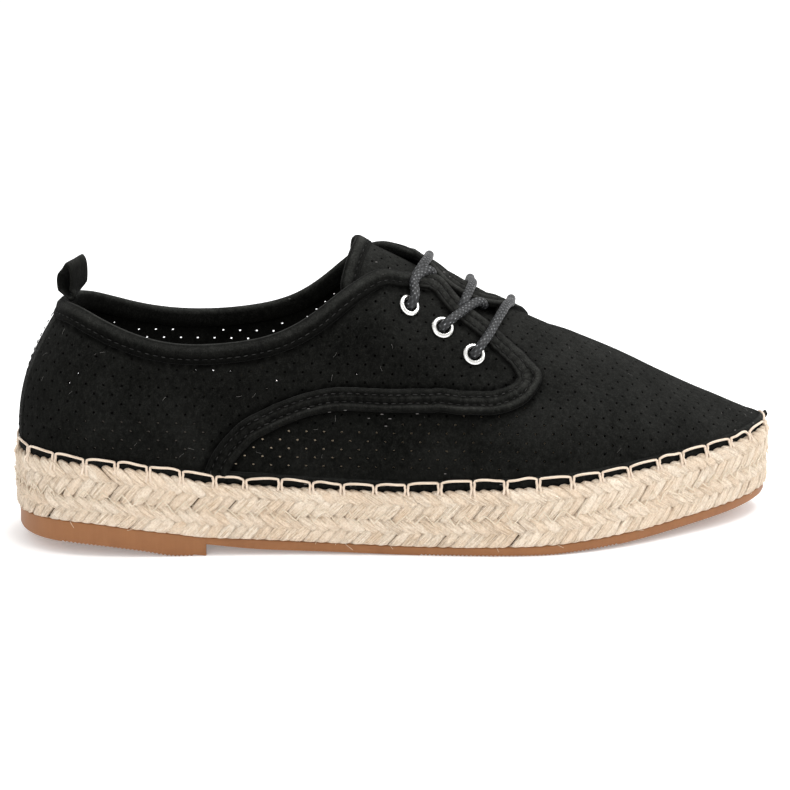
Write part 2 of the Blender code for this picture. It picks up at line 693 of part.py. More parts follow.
def even_path(points, spacing):
    """Smooth open curve through the points, read every `spacing` millimetres."""
    points = np.array(points, float)
    chords = np.linalg.norm(np.diff(points, axis=0), axis=1)
    knots = np.concatenate(((0.0,), np.cumsum(chords)))
    slope = np.gradient(points, knots, axis=0)
    count = max(2, int(round(knots[-1] / spacing)))
    where = np.linspace(0.0, knots[-1], count + 1)
    i = np.clip(np.searchsorted(knots, where, side="right") - 1, 0, len(chords) - 1)
    h = chords[i][:, None]
    s = ((where - knots[i]) / chords[i])[:, None]
    return ((2 * s**3 - 3 * s**2 + 1) * points[i] + (s**3 - 2 * s**2 + s) * h * slope[i]
            + (3 * s**2 - 2 * s**3) * points[i + 1] + (s**3 - s**2) * h * slope[i + 1])


def into_eyelet(last, row, side, toward):
    """Path from the bore of an eyelet, up and over its lip, in the direction of `toward`."""
    centre, axis = eyelet_spot(last, row, side)
    away = toward - centre
    away -= axis * (away @ axis)
    away /= np.linalg.norm(away)
    turn = LACE_DIAMETER / 2 + GAP
    over = LIP_HEIGHT + GAP + LACE_DIAMETER / 2
    path = [centre - axis * 0.9, centre + axis * (over - turn)]
    for k in range(1, 6):
        a = math.pi / 2 * k / 5
        path.append(centre + axis * (over - turn + turn * math.sin(a)) + away * turn * (1 - math.cos(a)))
    path.append(centre + axis * (over + 0.05) + away * (turn + 1.6))
    path.append(centre + axis * (over - 0.1) + away * (turn + 3.4))
    return path


def make_laces(last, material):
    lift = 3 * GAP + LACE_DIAMETER / 2
    tubes = {}
    for name, first, waypoints, final in LACE_RUNS:
        run = []
        for rib, across in waypoints:
            point, normal = spot(last, rib, across)
            run.append(point + normal * lift)
        start = into_eyelet(last, *first, run[0]) if first else []
        end = into_eyelet(last, *final, run[-1])[::-1] if final else []
        bridge = even_path(start[-2:] + run + end[:2], 2.6)
        path = start[:-2] + list(bridge) + end[2:]
        points, faces, caps = plain_tube(path, LACE_DIAMETER / 2, LACE_SIDES)
        tubes[name] = new_object("lace_" + name, points, faces + caps, material, 60.0)
    for row in ("top", "middle"):
        base, other = tubes[row + "_a"], tubes[row + "_b"]
        base.name = "lace_" + row
        other.hide_render = True
        other.display_type = "WIRE"
        join = base.modifiers.new("crossing", "BOOLEAN")
        join.operation = "UNION"
        join.solver = "EXACT"
        join.object = other


# Outline of the pull loop from the side, rearmost strand first.
LOOP = (
    # along, height
    (-112.6, 82.5),
    (-114.3, 85.6),
    (-115.4, 90.2),
    (-114.7, 92.8),
    (-111.6, 95.0),
    (-108.2, 97.2),
    (-106.1, 95.8),
    (-105.0, 92.0),
    (-105.3, 88.0),
    (-106.8, 84.2),
    (-109.6, 82.5),
)
LOOP_WIDTH = 9.4
LOOP_STRIP = 1.6


def make_pull_loop(material):
    rows = np.array(LOOP) * (SX, SZ)
    foot = rows[0].copy()
    rows -= foot
    chords = np.linalg.norm(np.roll(rows, -1, axis=0) - rows, axis=1)
    knots = np.concatenate(((0.0,), np.cumsum(chords)[:-1]))
    count = 36
    outline = closed_spline(knots, rows, chords.sum(), np.arange(count) / count * chords.sum())
    along = np.roll(outline, -1, axis=0) - np.roll(outline, 1, axis=0)
    along /= np.linalg.norm(along, axis=1)[:, None]
    inner = outline + np.column_stack((along[:, 1], -along[:, 0])) * LOOP_STRIP
    vertices, faces = [], []
    for y in (-LOOP_WIDTH / 2, LOOP_WIDTH / 2):
        for ring in (outline, inner):
            vertices += [(x, y, z) for x, z in ring]
    for k in range(count):
        n = (k + 1) % count
        for a, b in ((0, 1), (1, 3), (3, 2), (2, 0)):
            faces.append((a * count + k, a * count + n, b * count + n, b * count + k))
    loop = new_object("pull_loop", vertices, faces, material, 40.0)
    loop.location = (foot[0] * MM, 0.0, foot[1] * MM)


# ------------------------------------------------------------------ build
def clear_scene():
    for obj in list(bpy.data.objects):
        bpy.data.objects.remove(obj, do_unlink=True)


def build():
    clear_scene()
    rubber = plain_material("gum_rubber", (0.42, 0.20, 0.10), 0.55)
    jute = plain_material("plaited_jute", (0.72, 0.58, 0.40), 0.9)
    suede = plain_material("black_suede", (0.012, 0.012, 0.013), 0.85)
    linen = plain_material("footbed_cloth", (0.62, 0.52, 0.40), 0.9)
    metal = plain_material("bright_nickel", (0.78, 0.77, 0.75), 0.25, 1.0)
    cord = plain_material("waxed_lace", (0.02, 0.02, 0.022), 0.6)

    breaks = []
    rubber_plan = split_outline(OUTSOLE_INSET)
    lateral = rubber_plan[0]
    first, length = lateral[0, 0], lateral[-1, 0] - lateral[0, 0]
    for x in (BREAST - 0.01, BREAST + 0.01, -78.0, 10.0, 42.0):
        breaks.append((x * SX - first) / length)
    places = stations(44, breaks)
    slab("outsole", ((rubber_plan, tread_height), (rubber_plan, outsole_top)), places, rubber)

    def between(share):
        def height(x):
            low, high = outsole_top(x) + GAP, platform_top(x)
            middle = (low + high) / 2.0
            if share < 1.0:
                return low + (middle - GAP / 2.0 - low) * share
            return middle + GAP / 2.0 + (high - middle - GAP / 2.0) * (share - 1.0)
        return height

    even = stations(34)
    rounded, near, full = split_outline(JUTE_ROUNDING), split_outline(0.5), split_outline(0.0)
    for name, base in (("jute_lower", 0.0), ("jute_upper", 1.0)):
        levels = [(plan, between(base + share)) for plan, share in
                  ((rounded, 0.0), (near, 0.18), (full, 0.5), (near, 0.82), (rounded, 0.999999))]
        slab(name, levels, even, jute)
    last = Last()
    bed = footbed_outline(last)
    under, over = platform_top, lambda x: platform_top(x) + FOOTBED_THICKNESS
    slab("insole", ((bed, lambda x: under(x) + GAP), (bed, lambda x: over(x) + GAP)), even, linen)
    upper = make_upper(last, suede)
    punch_eyelet_holes(last, upper)
    make_tongue(last, suede)
    make_pull_loop(suede)
    make_eyelets(last, metal)
    make_laces(last, cord)

    shoe = bpy.data.objects.new("shoe", None)
    shoe.location = (0.0, MIDDLE_Y * MM, 0.0)
    bpy.context.collection.objects.link(shoe)
    for obj in bpy.data.objects:
        if obj is not shoe:
            obj.parent = shoe


build()
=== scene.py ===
# %% [markdown]
# # A perforated lace-up shoe on a plaited jute sole
#
# The shoe is built in the order a shoemaker puts it together: rubber sheet, two plaited jute rows,
# footbed, the suede upper with its bindings, tongue, eyelets and lace, and at last the blanket stitch
# that holds the upper to the jute. Solid CAD parts give the sizes; every piece that shows is made
# again here with its real surface.

import math

import bpy
import numpy as np
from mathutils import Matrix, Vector
from mathutils.geometry import delaunay_2d_cdt


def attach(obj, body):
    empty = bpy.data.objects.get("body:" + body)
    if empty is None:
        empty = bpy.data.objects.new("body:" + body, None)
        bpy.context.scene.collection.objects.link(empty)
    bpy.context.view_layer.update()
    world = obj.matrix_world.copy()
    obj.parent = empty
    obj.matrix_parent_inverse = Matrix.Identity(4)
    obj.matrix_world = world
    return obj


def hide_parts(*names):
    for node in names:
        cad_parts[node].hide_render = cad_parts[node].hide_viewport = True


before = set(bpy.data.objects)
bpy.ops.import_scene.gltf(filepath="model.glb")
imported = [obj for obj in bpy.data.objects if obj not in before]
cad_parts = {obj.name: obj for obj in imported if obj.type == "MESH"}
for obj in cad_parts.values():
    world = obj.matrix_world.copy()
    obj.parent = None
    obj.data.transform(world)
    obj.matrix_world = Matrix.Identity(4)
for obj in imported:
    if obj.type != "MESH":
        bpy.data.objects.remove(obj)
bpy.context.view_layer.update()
dice = np.random.default_rng(38)
print("CAD nodes:", ", ".join(sorted(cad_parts)))

# %% [markdown]
# ## Sizes
#
# A shoe is drawn on a last, the wooden or plastic foot it is made over. These tables are the last and
# the sole in millimetres: a plan of the sole, its heights from the side, and the ribs of the upper.
# The same tables stand in the CAD source, so both fit each other.

# %% Tables of the sole and the last
MM = 0.001
MIDDLE_Y = 1.05
FEATHER_INSET = 2.8
OUTSOLE_INSET = 1.2
FOOT_GAP = 0.5
BREAST = -68.8
SHANK_TREAD = 4.0
FOOTBED = 3.0

OUTLINE = np.array((
    # along, lateral, medial
    (-132.0, 0.0, 0.0),
    (-123.5, -20.5, 20.0),
    (-103.0, -30.2, 29.6),
    (-70.0, -33.6, 32.6),
    (-30.0, -37.2, 30.4),
    (10.0, -43.6, 38.2),
    (48.0, -47.3, 45.2),
    (76.0, -40.6, 42.6),
    (101.0, -29.4, 33.0),
    (121.0, -17.2, 18.0),
    (132.0, 0.6, 0.6),
))

SOLE_HEIGHTS = np.array((
    # along, tread, outsole top, platform top
    (-132.0, 4.6, 11.6, 31.9),
    (-118.0, 4.3, 12.0, 31.5),
    (-104.0, 3.5, 11.3, 30.6),
    (-91.0, 2.0, 9.6, 29.2),
    (-78.0, 0.0, 7.9, 27.4),
    (-70.0, 0.0, 6.7, 26.3),
    (-51.0, 2.0, 5.6, 25.1),
    (-25.0, 0.9, 4.2, 23.4),
    (-3.0, 0.2, 3.4, 22.5),
    (10.0, 0.0, 3.2, 22.9),
    (42.0, 0.0, 3.6, 24.4),
    (60.0, 0.8, 4.5, 25.5),
    (78.0, 2.0, 5.6, 26.8),
    (95.0, 3.5, 7.0, 27.9),
    (112.0, 5.1, 8.5, 29.6),
    (132.0, 7.2, 10.2, 32.2),
))

RIBS = np.array((
    # foot, top, lateral y, z, medial y, z, roll, low, high
    (-129.2, -113.0, 0.0, 81.5, 0.0, 81.5, 32.0, 0.46, 0.28),
    (-124.0, -109.0, -12.0, 82.0, 12.0, 81.5, 27.0, 0.45, 0.28),
    (-111.0, -100.5, -20.5, 78.8, 20.5, 78.6, 18.0, 0.42, 0.28),
    (-95.0, -88.5, -25.8, 74.2, 26.0, 74.0, 12.0, 0.40, 0.28),
    (-78.0, -75.0, -28.2, 71.6, 28.0, 71.2, 9.0, 0.38, 0.30),
    (-62.0, -60.5, -28.7, 71.7, 28.7, 70.5, 10.0, 0.37, 0.30),
    (-47.0, -46.0, -28.0, 73.8, 28.3, 71.8, 14.0, 0.36, 0.30),
    (-34.0, -33.0, -26.0, 79.4, 26.8, 75.6, 20.0, 0.36, 0.30),
    (-22.0, -21.5, -23.2, 87.2, 24.2, 83.4, 28.0, 0.36, 0.30),
    (-11.0, -11.5, -20.4, 92.8, 20.4, 92.0, 42.0, 0.35, 0.30),
    (-1.0, -3.0, -11.5, 95.8, 11.5, 96.0, 66.0, 0.34, 0.30),
    (9.0, 5.0, 0.0, 94.3, 0.0, 94.3, 90.0, 0.34, 0.30),
    (20.0, 16.0, -0.6, 88.3, -0.6, 88.3, 90.0, 0.34, 0.31),
    (34.0, 31.0, -0.8, 79.4, -0.8, 79.4, 90.0, 0.33, 0.33),
    (50.0, 47.0, -0.4, 70.8, -0.4, 70.8, 90.0, 0.32, 0.36),
    (66.0, 63.0, 0.0, 64.0, 0.0, 64.0, 90.0, 0.30, 0.39),
    (81.0, 78.0, 0.4, 57.3, 0.4, 57.3, 90.0, 0.28, 0.41),
    (96.0, 92.0, 0.6, 50.2, 0.6, 50.2, 90.0, 0.26, 0.42),
    (109.0, 104.0, 0.7, 44.4, 0.7, 44.4, 90.0, 0.25, 0.42),
    (120.0, 113.5, 0.7, 40.2, 0.7, 40.2, 90.0, 0.24, 0.40),
    (126.5, 120.0, 0.7, 37.1, 0.7, 37.1, 90.0, 0.24, 0.36),
    (129.1, 124.5, 0.7, 34.9, 0.7, 34.9, 90.0, 0.24, 0.30),
))
INSTEP_RIB = 11
OUTWARD_LEAN = 3.0
TOE = len(RIBS) - 1.0
ROUND = 2.0 * TOE
print("ribs:", len(RIBS), "length:", OUTLINE[-1, 0] - OUTLINE[0, 0], "mm")


# %% Lines and curves
def unit(rows):
    """Rows of vectors, each made one long."""
    return rows / np.linalg.norm(rows, axis=1)[:, None]


def length_along(line):
    """Distance from the start of a line of points, at each of them."""
    return np.concatenate(((0.0,), np.cumsum(np.linalg.norm(np.diff(line, axis=0), axis=1))))


def read_line(line, length, where):
    """The line's points at the distances `where`."""
    return np.column_stack([np.interp(where, length, line[:, k]) for k in range(line.shape[1])])


def cubic(s, h, start, end, leave, arrive):
    """Curve from start to end over a step h, with the slopes at both ends given; s goes from 0 to 1."""
    return ((2 * s**3 - 3 * s**2 + 1) * start + (s**3 - 2 * s**2 + s) * h * leave
            + (3 * s**2 - 2 * s**3) * end + (s**3 - s**2) * h * arrive)


def closed_spline(knots, values, period, query):
    """Smooth closed curve through `values` at `knots`."""
    n = len(knots)
    step = np.diff(np.append(knots, knots[0] + period))
    matrix = np.zeros((n, n))
    right = np.zeros_like(values)
    for i in range(n):
        before, after = step[i - 1], step[i]
        nxt = (i + 1) % n
        matrix[i, i - 1] += after
        matrix[i, i] += 2.0 * (before + after)
        matrix[i, nxt] += before
        rise_in = (values[i] - values[i - 1]) / before
        rise_out = (values[nxt] - values[i]) / after
        right[i] = 3.0 * (after * rise_in + before * rise_out)
    slope = np.linalg.solve(matrix, right)
    where = np.mod(query, period)
    i = np.searchsorted(knots, where, side="right") - 1
    nxt = (i + 1) % n
    h = step[i]
    s = (where - knots[i]) / h
    shape = (-1,) + (1,) * (values.ndim - 1)
    s, h = s.reshape(shape), h.reshape(shape)
    return cubic(s, h, values[i], values[nxt], slope[i], slope[nxt])


def even_curve(xs, ys, x):
    """Curve through a table that never overshoots its rows."""
    xs, ys = np.asarray(xs, float), np.asarray(ys, float)
    step = np.diff(xs)
    rise = np.diff(ys) / step
    slope = np.zeros(len(xs))
    for i in range(1, len(xs) - 1):
        if rise[i - 1] * rise[i] > 0.0:
            a, b = 2 * step[i] + step[i - 1], step[i] + 2 * step[i - 1]
            slope[i] = (a + b) / (a / rise[i - 1] + b / rise[i])
    slope[0], slope[-1] = rise[0], rise[-1]
    x = np.clip(x, xs[0], xs[-1])
    i = np.clip(np.searchsorted(xs, x, side="right") - 1, 0, len(step) - 1)
    s, h = (x - xs[i]) / step[i], step[i]
    return cubic(s, h, ys[i], ys[i + 1], slope[i], slope[i + 1])


def soft_step(x):
    """0 up to x = 0, then a smooth rise to 1 at x = 1."""
    x = np.clip(x, 0.0, 1.0)
    return x * x * (3.0 - 2.0 * x)


print("a soft step, a quarter of the way on: %.3f" % soft_step(0.25))


# %% Plan and heights of the sole
PLAN_POINTS = 1440


def around(loop):
    """Distance round a closed line at each of its points, and the whole way round."""
    chords = np.linalg.norm(np.roll(loop, -1, axis=0) - loop, axis=1)
    return np.concatenate(((0.0,), np.cumsum(chords)[:-1])), chords.sum()


def sole_plan():
    lateral = OUTLINE[:, (0, 1)]
    medial = OUTLINE[-2:0:-1, (0, 2)]
    points = np.vstack((lateral, medial))
    knots, period = around(points)
    return closed_spline(knots, points, period, np.linspace(0.0, period, PLAN_POINTS, endpoint=False))


PLAN = sole_plan()


def inset_plan(inset):
    """The plan moved inwards, from its rearmost point along the lateral side."""
    tangent = unit(np.roll(PLAN, -1, axis=0) - np.roll(PLAN, 1, axis=0))
    moved = PLAN + np.column_stack((-tangent[:, 1], tangent[:, 0])) * inset
    return np.roll(moved, -int(np.argmin(moved[:, 0])), axis=0)


def tread_height(x):
    heel = even_curve(SOLE_HEIGHTS[:, 0], SOLE_HEIGHTS[:, 1], x)
    rows = SOLE_HEIGHTS[SOLE_HEIGHTS[:, 0] > BREAST]
    shank = even_curve(np.append(BREAST, rows[:, 0]), np.append(SHANK_TREAD, rows[:, 1]), x)
    return np.where(np.asarray(x) <= BREAST, heel, shank)


def outsole_top(x):
    return even_curve(SOLE_HEIGHTS[:, 0], SOLE_HEIGHTS[:, 2], x)


def platform_top(x):
    return even_curve(SOLE_HEIGHTS[:, 0], SOLE_HEIGHTS[:, 3], x)


class Rim:
    """The sole's plan walked by distance: place and outward direction at an arc length."""

    def __init__(self, inset=0.0):
        self.curve = inset_plan(inset)
        self.arc, self.length = around(self.curve)

    def at(self, arc):
        x = np.interp(arc, self.arc, self.curve[:, 0], period=self.length)
        y = np.interp(arc, self.arc, self.curve[:, 1], period=self.length)
        return np.column_stack((np.atleast_1d(x), np.atleast_1d(y)))

    def outward(self, arc, reach=1.5):
        along = unit(self.at(np.asarray(arc) + reach) - self.at(np.asarray(arc) - reach))
        return np.column_stack((along[:, 1], -along[:, 0]))


rim = Rim()
print("way round the sole: %.0f mm" % rim.length)


# %% [markdown]
# ## The last as a surface
#
# A place on the upper is (q, v). q counts ribs round the shoe: 0 at the back seam, forward on the
# lateral side to the toe tip, and back on the medial side. v climbs a rib from the feather line, 0, to
# the collar or the ridge, 1. Each rib is one Bezier curve, and the table sets where it starts, where
# it ends and how it arrives.

# %% The last
class Last:
    def __init__(self):
        feather = Rim(FEATHER_INSET)
        self.feather = feather
        tip = int(np.argmax(feather.curve[:, 0]))
        foot = RIBS[:, 0]
        lateral = np.interp(foot, feather.curve[:tip + 1, 0], feather.arc[:tip + 1])
        medial = np.interp(foot, feather.curve[tip:, 0][::-1], feather.arc[tip:][::-1])
        lateral[0], lateral[-1] = 0.0, feather.arc[tip]
        ring_foot = np.concatenate((lateral, medial[-2:0:-1]))
        ring_top = np.vstack((RIBS[:, (1, 2, 3)], RIBS[-2:0:-1, (1, 4, 5)]))
        ring_shape = np.vstack((RIBS[:, (6, 7, 8)], RIBS[-2:0:-1, (6, 7, 8)]))
        self.knots = np.arange(len(ring_foot), dtype=float)
        drift = ring_foot - feather.length * self.knots / ROUND
        self.columns = np.column_stack((drift, ring_top, ring_shape))

    def ridge(self, x):
        rows = RIBS[INSTEP_RIB:]
        return even_curve(rows[:, 1], rows[:, 2], x), even_curve(rows[:, 1], rows[:, 3], x)

    def ribs(self, q):
        q = np.mod(np.atleast_1d(q), ROUND)
        values = closed_spline(self.knots, self.columns, ROUND, q)
        arc = values[:, 0] + self.feather.length * q / ROUND
        plan = self.feather.at(arc)
        inward = -self.feather.outward(arc, 3.0)
        foot = np.column_stack((plan, platform_top(plan[:, 0]) + FOOT_GAP))
        top = values[:, 1:4].copy()
        on_ridge = np.minimum(q, ROUND - q) >= INSTEP_RIB
        ridge_y, ridge_z = self.ridge(top[:, 0])
        top[on_ridge, 1] = ridge_y[on_ridge]
        top[on_ridge, 2] = ridge_z[on_ridge]
        fall = (self.ridge(top[:, 0] + 1.0)[1] - self.ridge(top[:, 0] - 1.0)[1]) / 2.0
        fall = np.where(on_ridge, fall, 0.0)
        across = unit(np.column_stack((inward, inward[:, 0] * fall)))
        roll = np.radians(values[:, 4])
        arrive = across * np.sin(roll)[:, None]
        arrive[:, 2] += np.cos(roll)
        lean = math.radians(OUTWARD_LEAN)
        leave = np.column_stack((-inward * math.sin(lean), np.full(len(q), math.cos(lean))))
        chord = np.linalg.norm(top - foot, axis=1)
        low = foot + leave * (values[:, 5] * chord)[:, None]
        high = top - arrive * (values[:, 6] * chord)[:, None]
        return np.stack((foot, low, high, top), axis=1)

    def points(self, q, v):
        ribs = self.ribs(q)
        v = np.atleast_1d(v)[:, None]
        return ((1 - v)**3 * ribs[:, 0] + 3 * v * (1 - v)**2 * ribs[:, 1]
                + 3 * v**2 * (1 - v) * ribs[:, 2] + v**3 * ribs[:, 3])

    def slopes(self, q, v):
        """How a point moves for one unit of q and one of v."""
        return ((self.points(q + 0.02, v) - self.points(q - 0.02, v)) / 0.04,
                (self.points(q, v + 0.005) - self.points(q, v - 0.005)) / 0.01)

    def normals(self, q, v):
        v = np.where(np.abs(q - TOE) < 0.01, np.minimum(v, 0.96), v)
        return unit(np.cross(*self.slopes(q, v)))


last = Last()
print("last: %d ribs, %.0f mm round its feather line" % (len(last.knots), last.feather.length))

# Arc lengths up every rib, tabled once, so places can be asked for in millimetres.
LAYER_Q = np.arange(0.0, ROUND, 0.1)
LAYER_V = np.linspace(0.0, 1.0, 41)


def rib_lengths():
    q = np.repeat(LAYER_Q, len(LAYER_V))
    v = np.tile(LAYER_V, len(LAYER_Q))
    points = last.points(q, v).reshape(len(LAYER_Q), len(LAYER_V), 3)
    steps = np.linalg.norm(np.diff(points, axis=1), axis=2)
    return np.concatenate((np.zeros((len(LAYER_Q), 1)), np.cumsum(steps, axis=1)), axis=1)


UP = rib_lengths()


def rows_at(q):
    """Millimetres from the feather line at every LAYER_V, for each rib q."""
    place = np.mod(q, ROUND) / 0.1
    i = place.astype(int) % len(LAYER_Q)
    share = (place - place.astype(int))[:, None]
    return UP[i] * (1 - share) + UP[(i + 1) % len(LAYER_Q)] * share


def v_at(q, up):
    """v of the points `up` millimetres above the feather line."""
    rows = rows_at(q)
    k = np.clip((rows <= up[:, None]).sum(axis=1) - 1, 0, len(LAYER_V) - 2)
    n = np.arange(len(k))
    low, high = rows[n, k], rows[n, k + 1]
    return LAYER_V[k] + (LAYER_V[k + 1] - LAYER_V[k]) * (up - low) / (high - low)


# %% Places on the upper
OVER_RIDGE = 50.0


def on_last(q, s):
    """(q, v) of a place (q, s). q below 0 is the medial side; s above 1 goes on over the ridge."""
    q, s = np.broadcast_arrays(np.atleast_1d(q), s)
    beyond = np.maximum(s - 1.0, 0.0) * OVER_RIDGE
    crosses = (beyond > 0.0) & (np.abs(q) > INSTEP_RIB - 0.5)
    v = np.clip(s, 0.0, 1.0)
    other = v_at(-q, rows_at(-q)[:, -1] - beyond)
    return np.where(crosses, -q, q), np.where(crosses, other, v)


def knots_of(rows):
    """Places from (rib, height) rows; a text height is "down 12.5" or "up 30" in millimetres."""
    places = []
    for q, s in rows:
        if isinstance(s, str):
            word, number = s.split()
            number = float(number)
            rib = rows_at(np.array([float(q)]))[0]
            if word == "over":
                s = 1.0 + number / OVER_RIDGE
            else:
                up = rib[-1] - number if word == "down" else number
                s = float(v_at(np.array([float(q)]), np.array([up]))[0])
        places.append((q, s))
    return np.array(places, float)


print("girth half at the ball: %.0f mm" % rows_at(np.array([14.0]))[0, -1])

# %% [markdown]
# ## Camera, floor and light
#
# A catalogue picture: the shoe from its outer side, a little from above and a little from behind the
# ball, on a white sweep with large soft lights. The long lens keeps the sole's lines nearly parallel.

# %% Camera and floor
bpy.ops.object.select_all(action="DESELECT")
CAMERA_TARGET = Vector((0.0, 0.01155, 0.042))
CAMERA_AZIMUTH = math.radians(-7.0)
CAMERA_ELEVATION = math.radians(15.0)
CAMERA_DISTANCE = 0.8
CAMERA_LENS = 103.9
toward_camera = Vector((math.sin(CAMERA_AZIMUTH) * math.cos(CAMERA_ELEVATION),
                        -math.cos(CAMERA_AZIMUTH) * math.cos(CAMERA_ELEVATION),
                        math.sin(CAMERA_ELEVATION)))
bpy.ops.object.camera_add(location=CAMERA_TARGET + toward_camera * CAMERA_DISTANCE)
camera = bpy.context.object
camera.rotation_euler = toward_camera.to_track_quat("Z", "Y").to_euler()
camera.data.lens = CAMERA_LENS
camera.data.sensor_width = 36.0
camera.data.clip_start = 0.01
bpy.context.scene.camera = camera

bpy.ops.mesh.primitive_plane_add(size=6.0, location=(0.0, 0.0, 0.0))
floor = bpy.context.object
floor.name = "floor"
WHITE = (1.0, 1.0, 1.0, 1.0)
white = bpy.data.materials.new("white_sweep")
white.use_nodes = True
sweep_shader = white.node_tree.nodes["Principled BSDF"].inputs
sweep_shader["Base Color"].default_value = (0.97, 0.97, 0.97, 1.0)
sweep_shader["Roughness"].default_value = 0.9
sweep_shader["Emission Color"].default_value = WHITE
sweep_shader["Emission Strength"].default_value = 0.22
floor.data.materials.append(white)
print("camera at", [round(c, 3) for c in camera.location])


# %% Lights
def soft_light(name, location, size, power, target=(0.0, 0.0, 0.03)):
    bpy.ops.object.light_add(type="AREA", location=location)
    light = bpy.context.object
    light.name = name
    light.data.shape = "DISK"
    light.data.size = size
    light.data.energy = power
    light.rotation_euler = (Vector(location) - Vector(target)).to_track_quat("Z", "Y").to_euler()


soft_light("top_softbox", (0.35, -0.1, 1.5), 1.0, 16.0)
soft_light("front_softbox", (-0.6, -1.5, 0.9), 1.0, 5.0)
soft_light("toe_softbox", (1.4, -0.3, 0.9), 0.8, 6.0)
sky = bpy.data.worlds.new("studio")
bpy.context.scene.world = sky
sky.use_nodes = True
sky.node_tree.nodes["Background"].inputs["Color"].default_value = WHITE
sky.node_tree.nodes["Background"].inputs["Strength"].default_value = 0.80
bpy.context.scene.view_settings.view_transform = "Standard"

# %% [markdown]
# ## Helpers for shaping
#
# Everything is drawn in the last's millimetres and placed once, so no object is moved or turned.
# `take` reads a mesh as an array, `give` writes it back, and `finish_piece` hands it to the frame.


# %% Mesh helpers
def only(obj):
    """Make this the one selected and active object."""
    bpy.ops.object.select_all(action="DESELECT")
    obj.select_set(True)
    bpy.context.view_layer.objects.active = obj
    return obj


def start_from(add, name, **settings):
    """A new object made by a Blender `add` operator, under a plain name."""
    bpy.ops.object.select_all(action="DESELECT")
    add(**settings)
    obj = bpy.context.object
    obj.name = name
    obj.data.name = name
    return only(obj)


def take(obj, what="co"):
    rows = np.zeros(len(obj.data.vertices) * 3)
    obj.data.vertices.foreach_get(what, rows)
    return rows.reshape(-1, 3)


def give(obj, points):
    obj.data.vertices.foreach_set("co", np.asarray(points, float).ravel())
    obj.data.update()


def to_row(points):
    """From the last's millimetres to the frame's metres."""
    return (np.asarray(points, float) + (0.0, MIDDLE_Y, 0.0)) * MM


def note(obj, name, values):
    """Keep one number for each point of the piece, for its material to read."""
    attribute = obj.data.attributes.new(name, "FLOAT", "POINT")
    attribute.data.foreach_set("value", np.asarray(values, np.float32))


def edit(obj, *steps):
    """Run operator steps on everything selected in edit mode."""
    only(obj)
    bpy.ops.object.mode_set(mode="EDIT")
    bpy.ops.mesh.select_all(action="SELECT")
    for step in steps:
        step()
    bpy.ops.object.mode_set(mode="OBJECT")


def face_outwards(obj, merge=None):
    """Merge doubled points, if a distance is given, and turn every face outwards."""
    if merge:
        edit(obj, lambda: bpy.ops.mesh.remove_doubles(threshold=merge))
    edit(obj, lambda: bpy.ops.mesh.normals_make_consistent(inside=False))
    return obj


def lift_off(obj):
    """Points and faces of a model, which is then taken away."""
    points, faces = take(obj), [list(p.vertices) for p in obj.data.polygons]
    bpy.data.objects.remove(obj, do_unlink=True)
    return points, faces


def ring_faces(count, width, closed=False):
    """Faces between `count` rings of `width` points; an open tube gets a lid at each end."""
    i, k = np.meshgrid(np.arange(count if closed else count - 1), np.arange(width), indexing="ij")
    here, there, over = i * width, (i + 1) % count * width, (k + 1) % width
    faces = np.stack((here + k, here + over, there + over, there + k), axis=2).reshape(-1, 4).tolist()
    if not closed:
        faces += [list(range(width))[::-1], list(range((count - 1) * width, count * width))]
    return faces


def corners_of(mesh):
    """The point at each face corner, in the order of a UV map."""
    corner = np.zeros(len(mesh.loops), int)
    mesh.loops.foreach_get("vertex_index", corner)
    return corner


def mesh_piece(name, points, faces, uv=None, **point_values):
    """One joined mesh from arrays: a UV pair and any named values for each point."""
    mesh = bpy.data.meshes.new(name)
    mesh.from_pydata(to_row(points).tolist(), [], faces)
    layer = mesh.uv_layers.new(name="UVMap")
    uv = np.zeros((len(points), 2)) if uv is None else np.asarray(uv, float)
    layer.data.foreach_set("uv", uv[corners_of(mesh)].ravel())
    obj = bpy.data.objects.new(name, mesh)
    bpy.context.scene.collection.objects.link(obj)
    for key, values in point_values.items():
        note(obj, key, values)
    return obj


def even_out(places, values, trusted, cell=0.006):
    """Average of the trusted values round each place, on a coarse lattice of cells."""
    low = places.min(axis=0) - 2.5 * cell
    spot_at = (places - low) / cell
    shape = tuple(np.ceil(spot_at.max(axis=0)).astype(int) + 3)
    total = np.zeros((2, *shape))
    at = tuple(np.floor(spot_at[trusted]).astype(int).T)
    np.add.at(total[0], at, values[trusted])
    np.add.at(total[1], at, 1.0)
    for axis in (1, 2, 3):
        total = total + 0.5 * (np.roll(total, 1, axis) + np.roll(total, -1, axis))
    spot_at -= 0.5
    base = np.floor(spot_at).astype(int)
    part = spot_at - base
    found = np.zeros((2, len(places)))
    for corner in np.ndindex(2, 2, 2):
        weight = np.prod(np.where(corner, part, 1.0 - part), axis=1)
        found += total[:, base[:, 0] + corner[0], base[:, 1] + corner[1], base[:, 2] + corner[2]] * weight
    return found[0] / np.maximum(found[1], 1e-6)


def note_upward(obj, even=False):
    """Keep how far each point of the piece faces up, for the painted highlight that makes upward faces
    lighter.
    """
    normals = take(obj, "normal")
    upward = normals[:, 2]
    if even:
        points = take(obj)
        heart = np.column_stack((np.clip(points[:, 0], -0.09, 0.10), np.full(len(points), 0.001),
                                 np.interp(points[:, 0], (0.03, 0.11), (0.04, 0.024))))
        trusted = np.sum(normals * (points - heart), axis=1) > 0.0
        upward = even_out(points, upward, trusted)
    note(obj, "upward", upward)


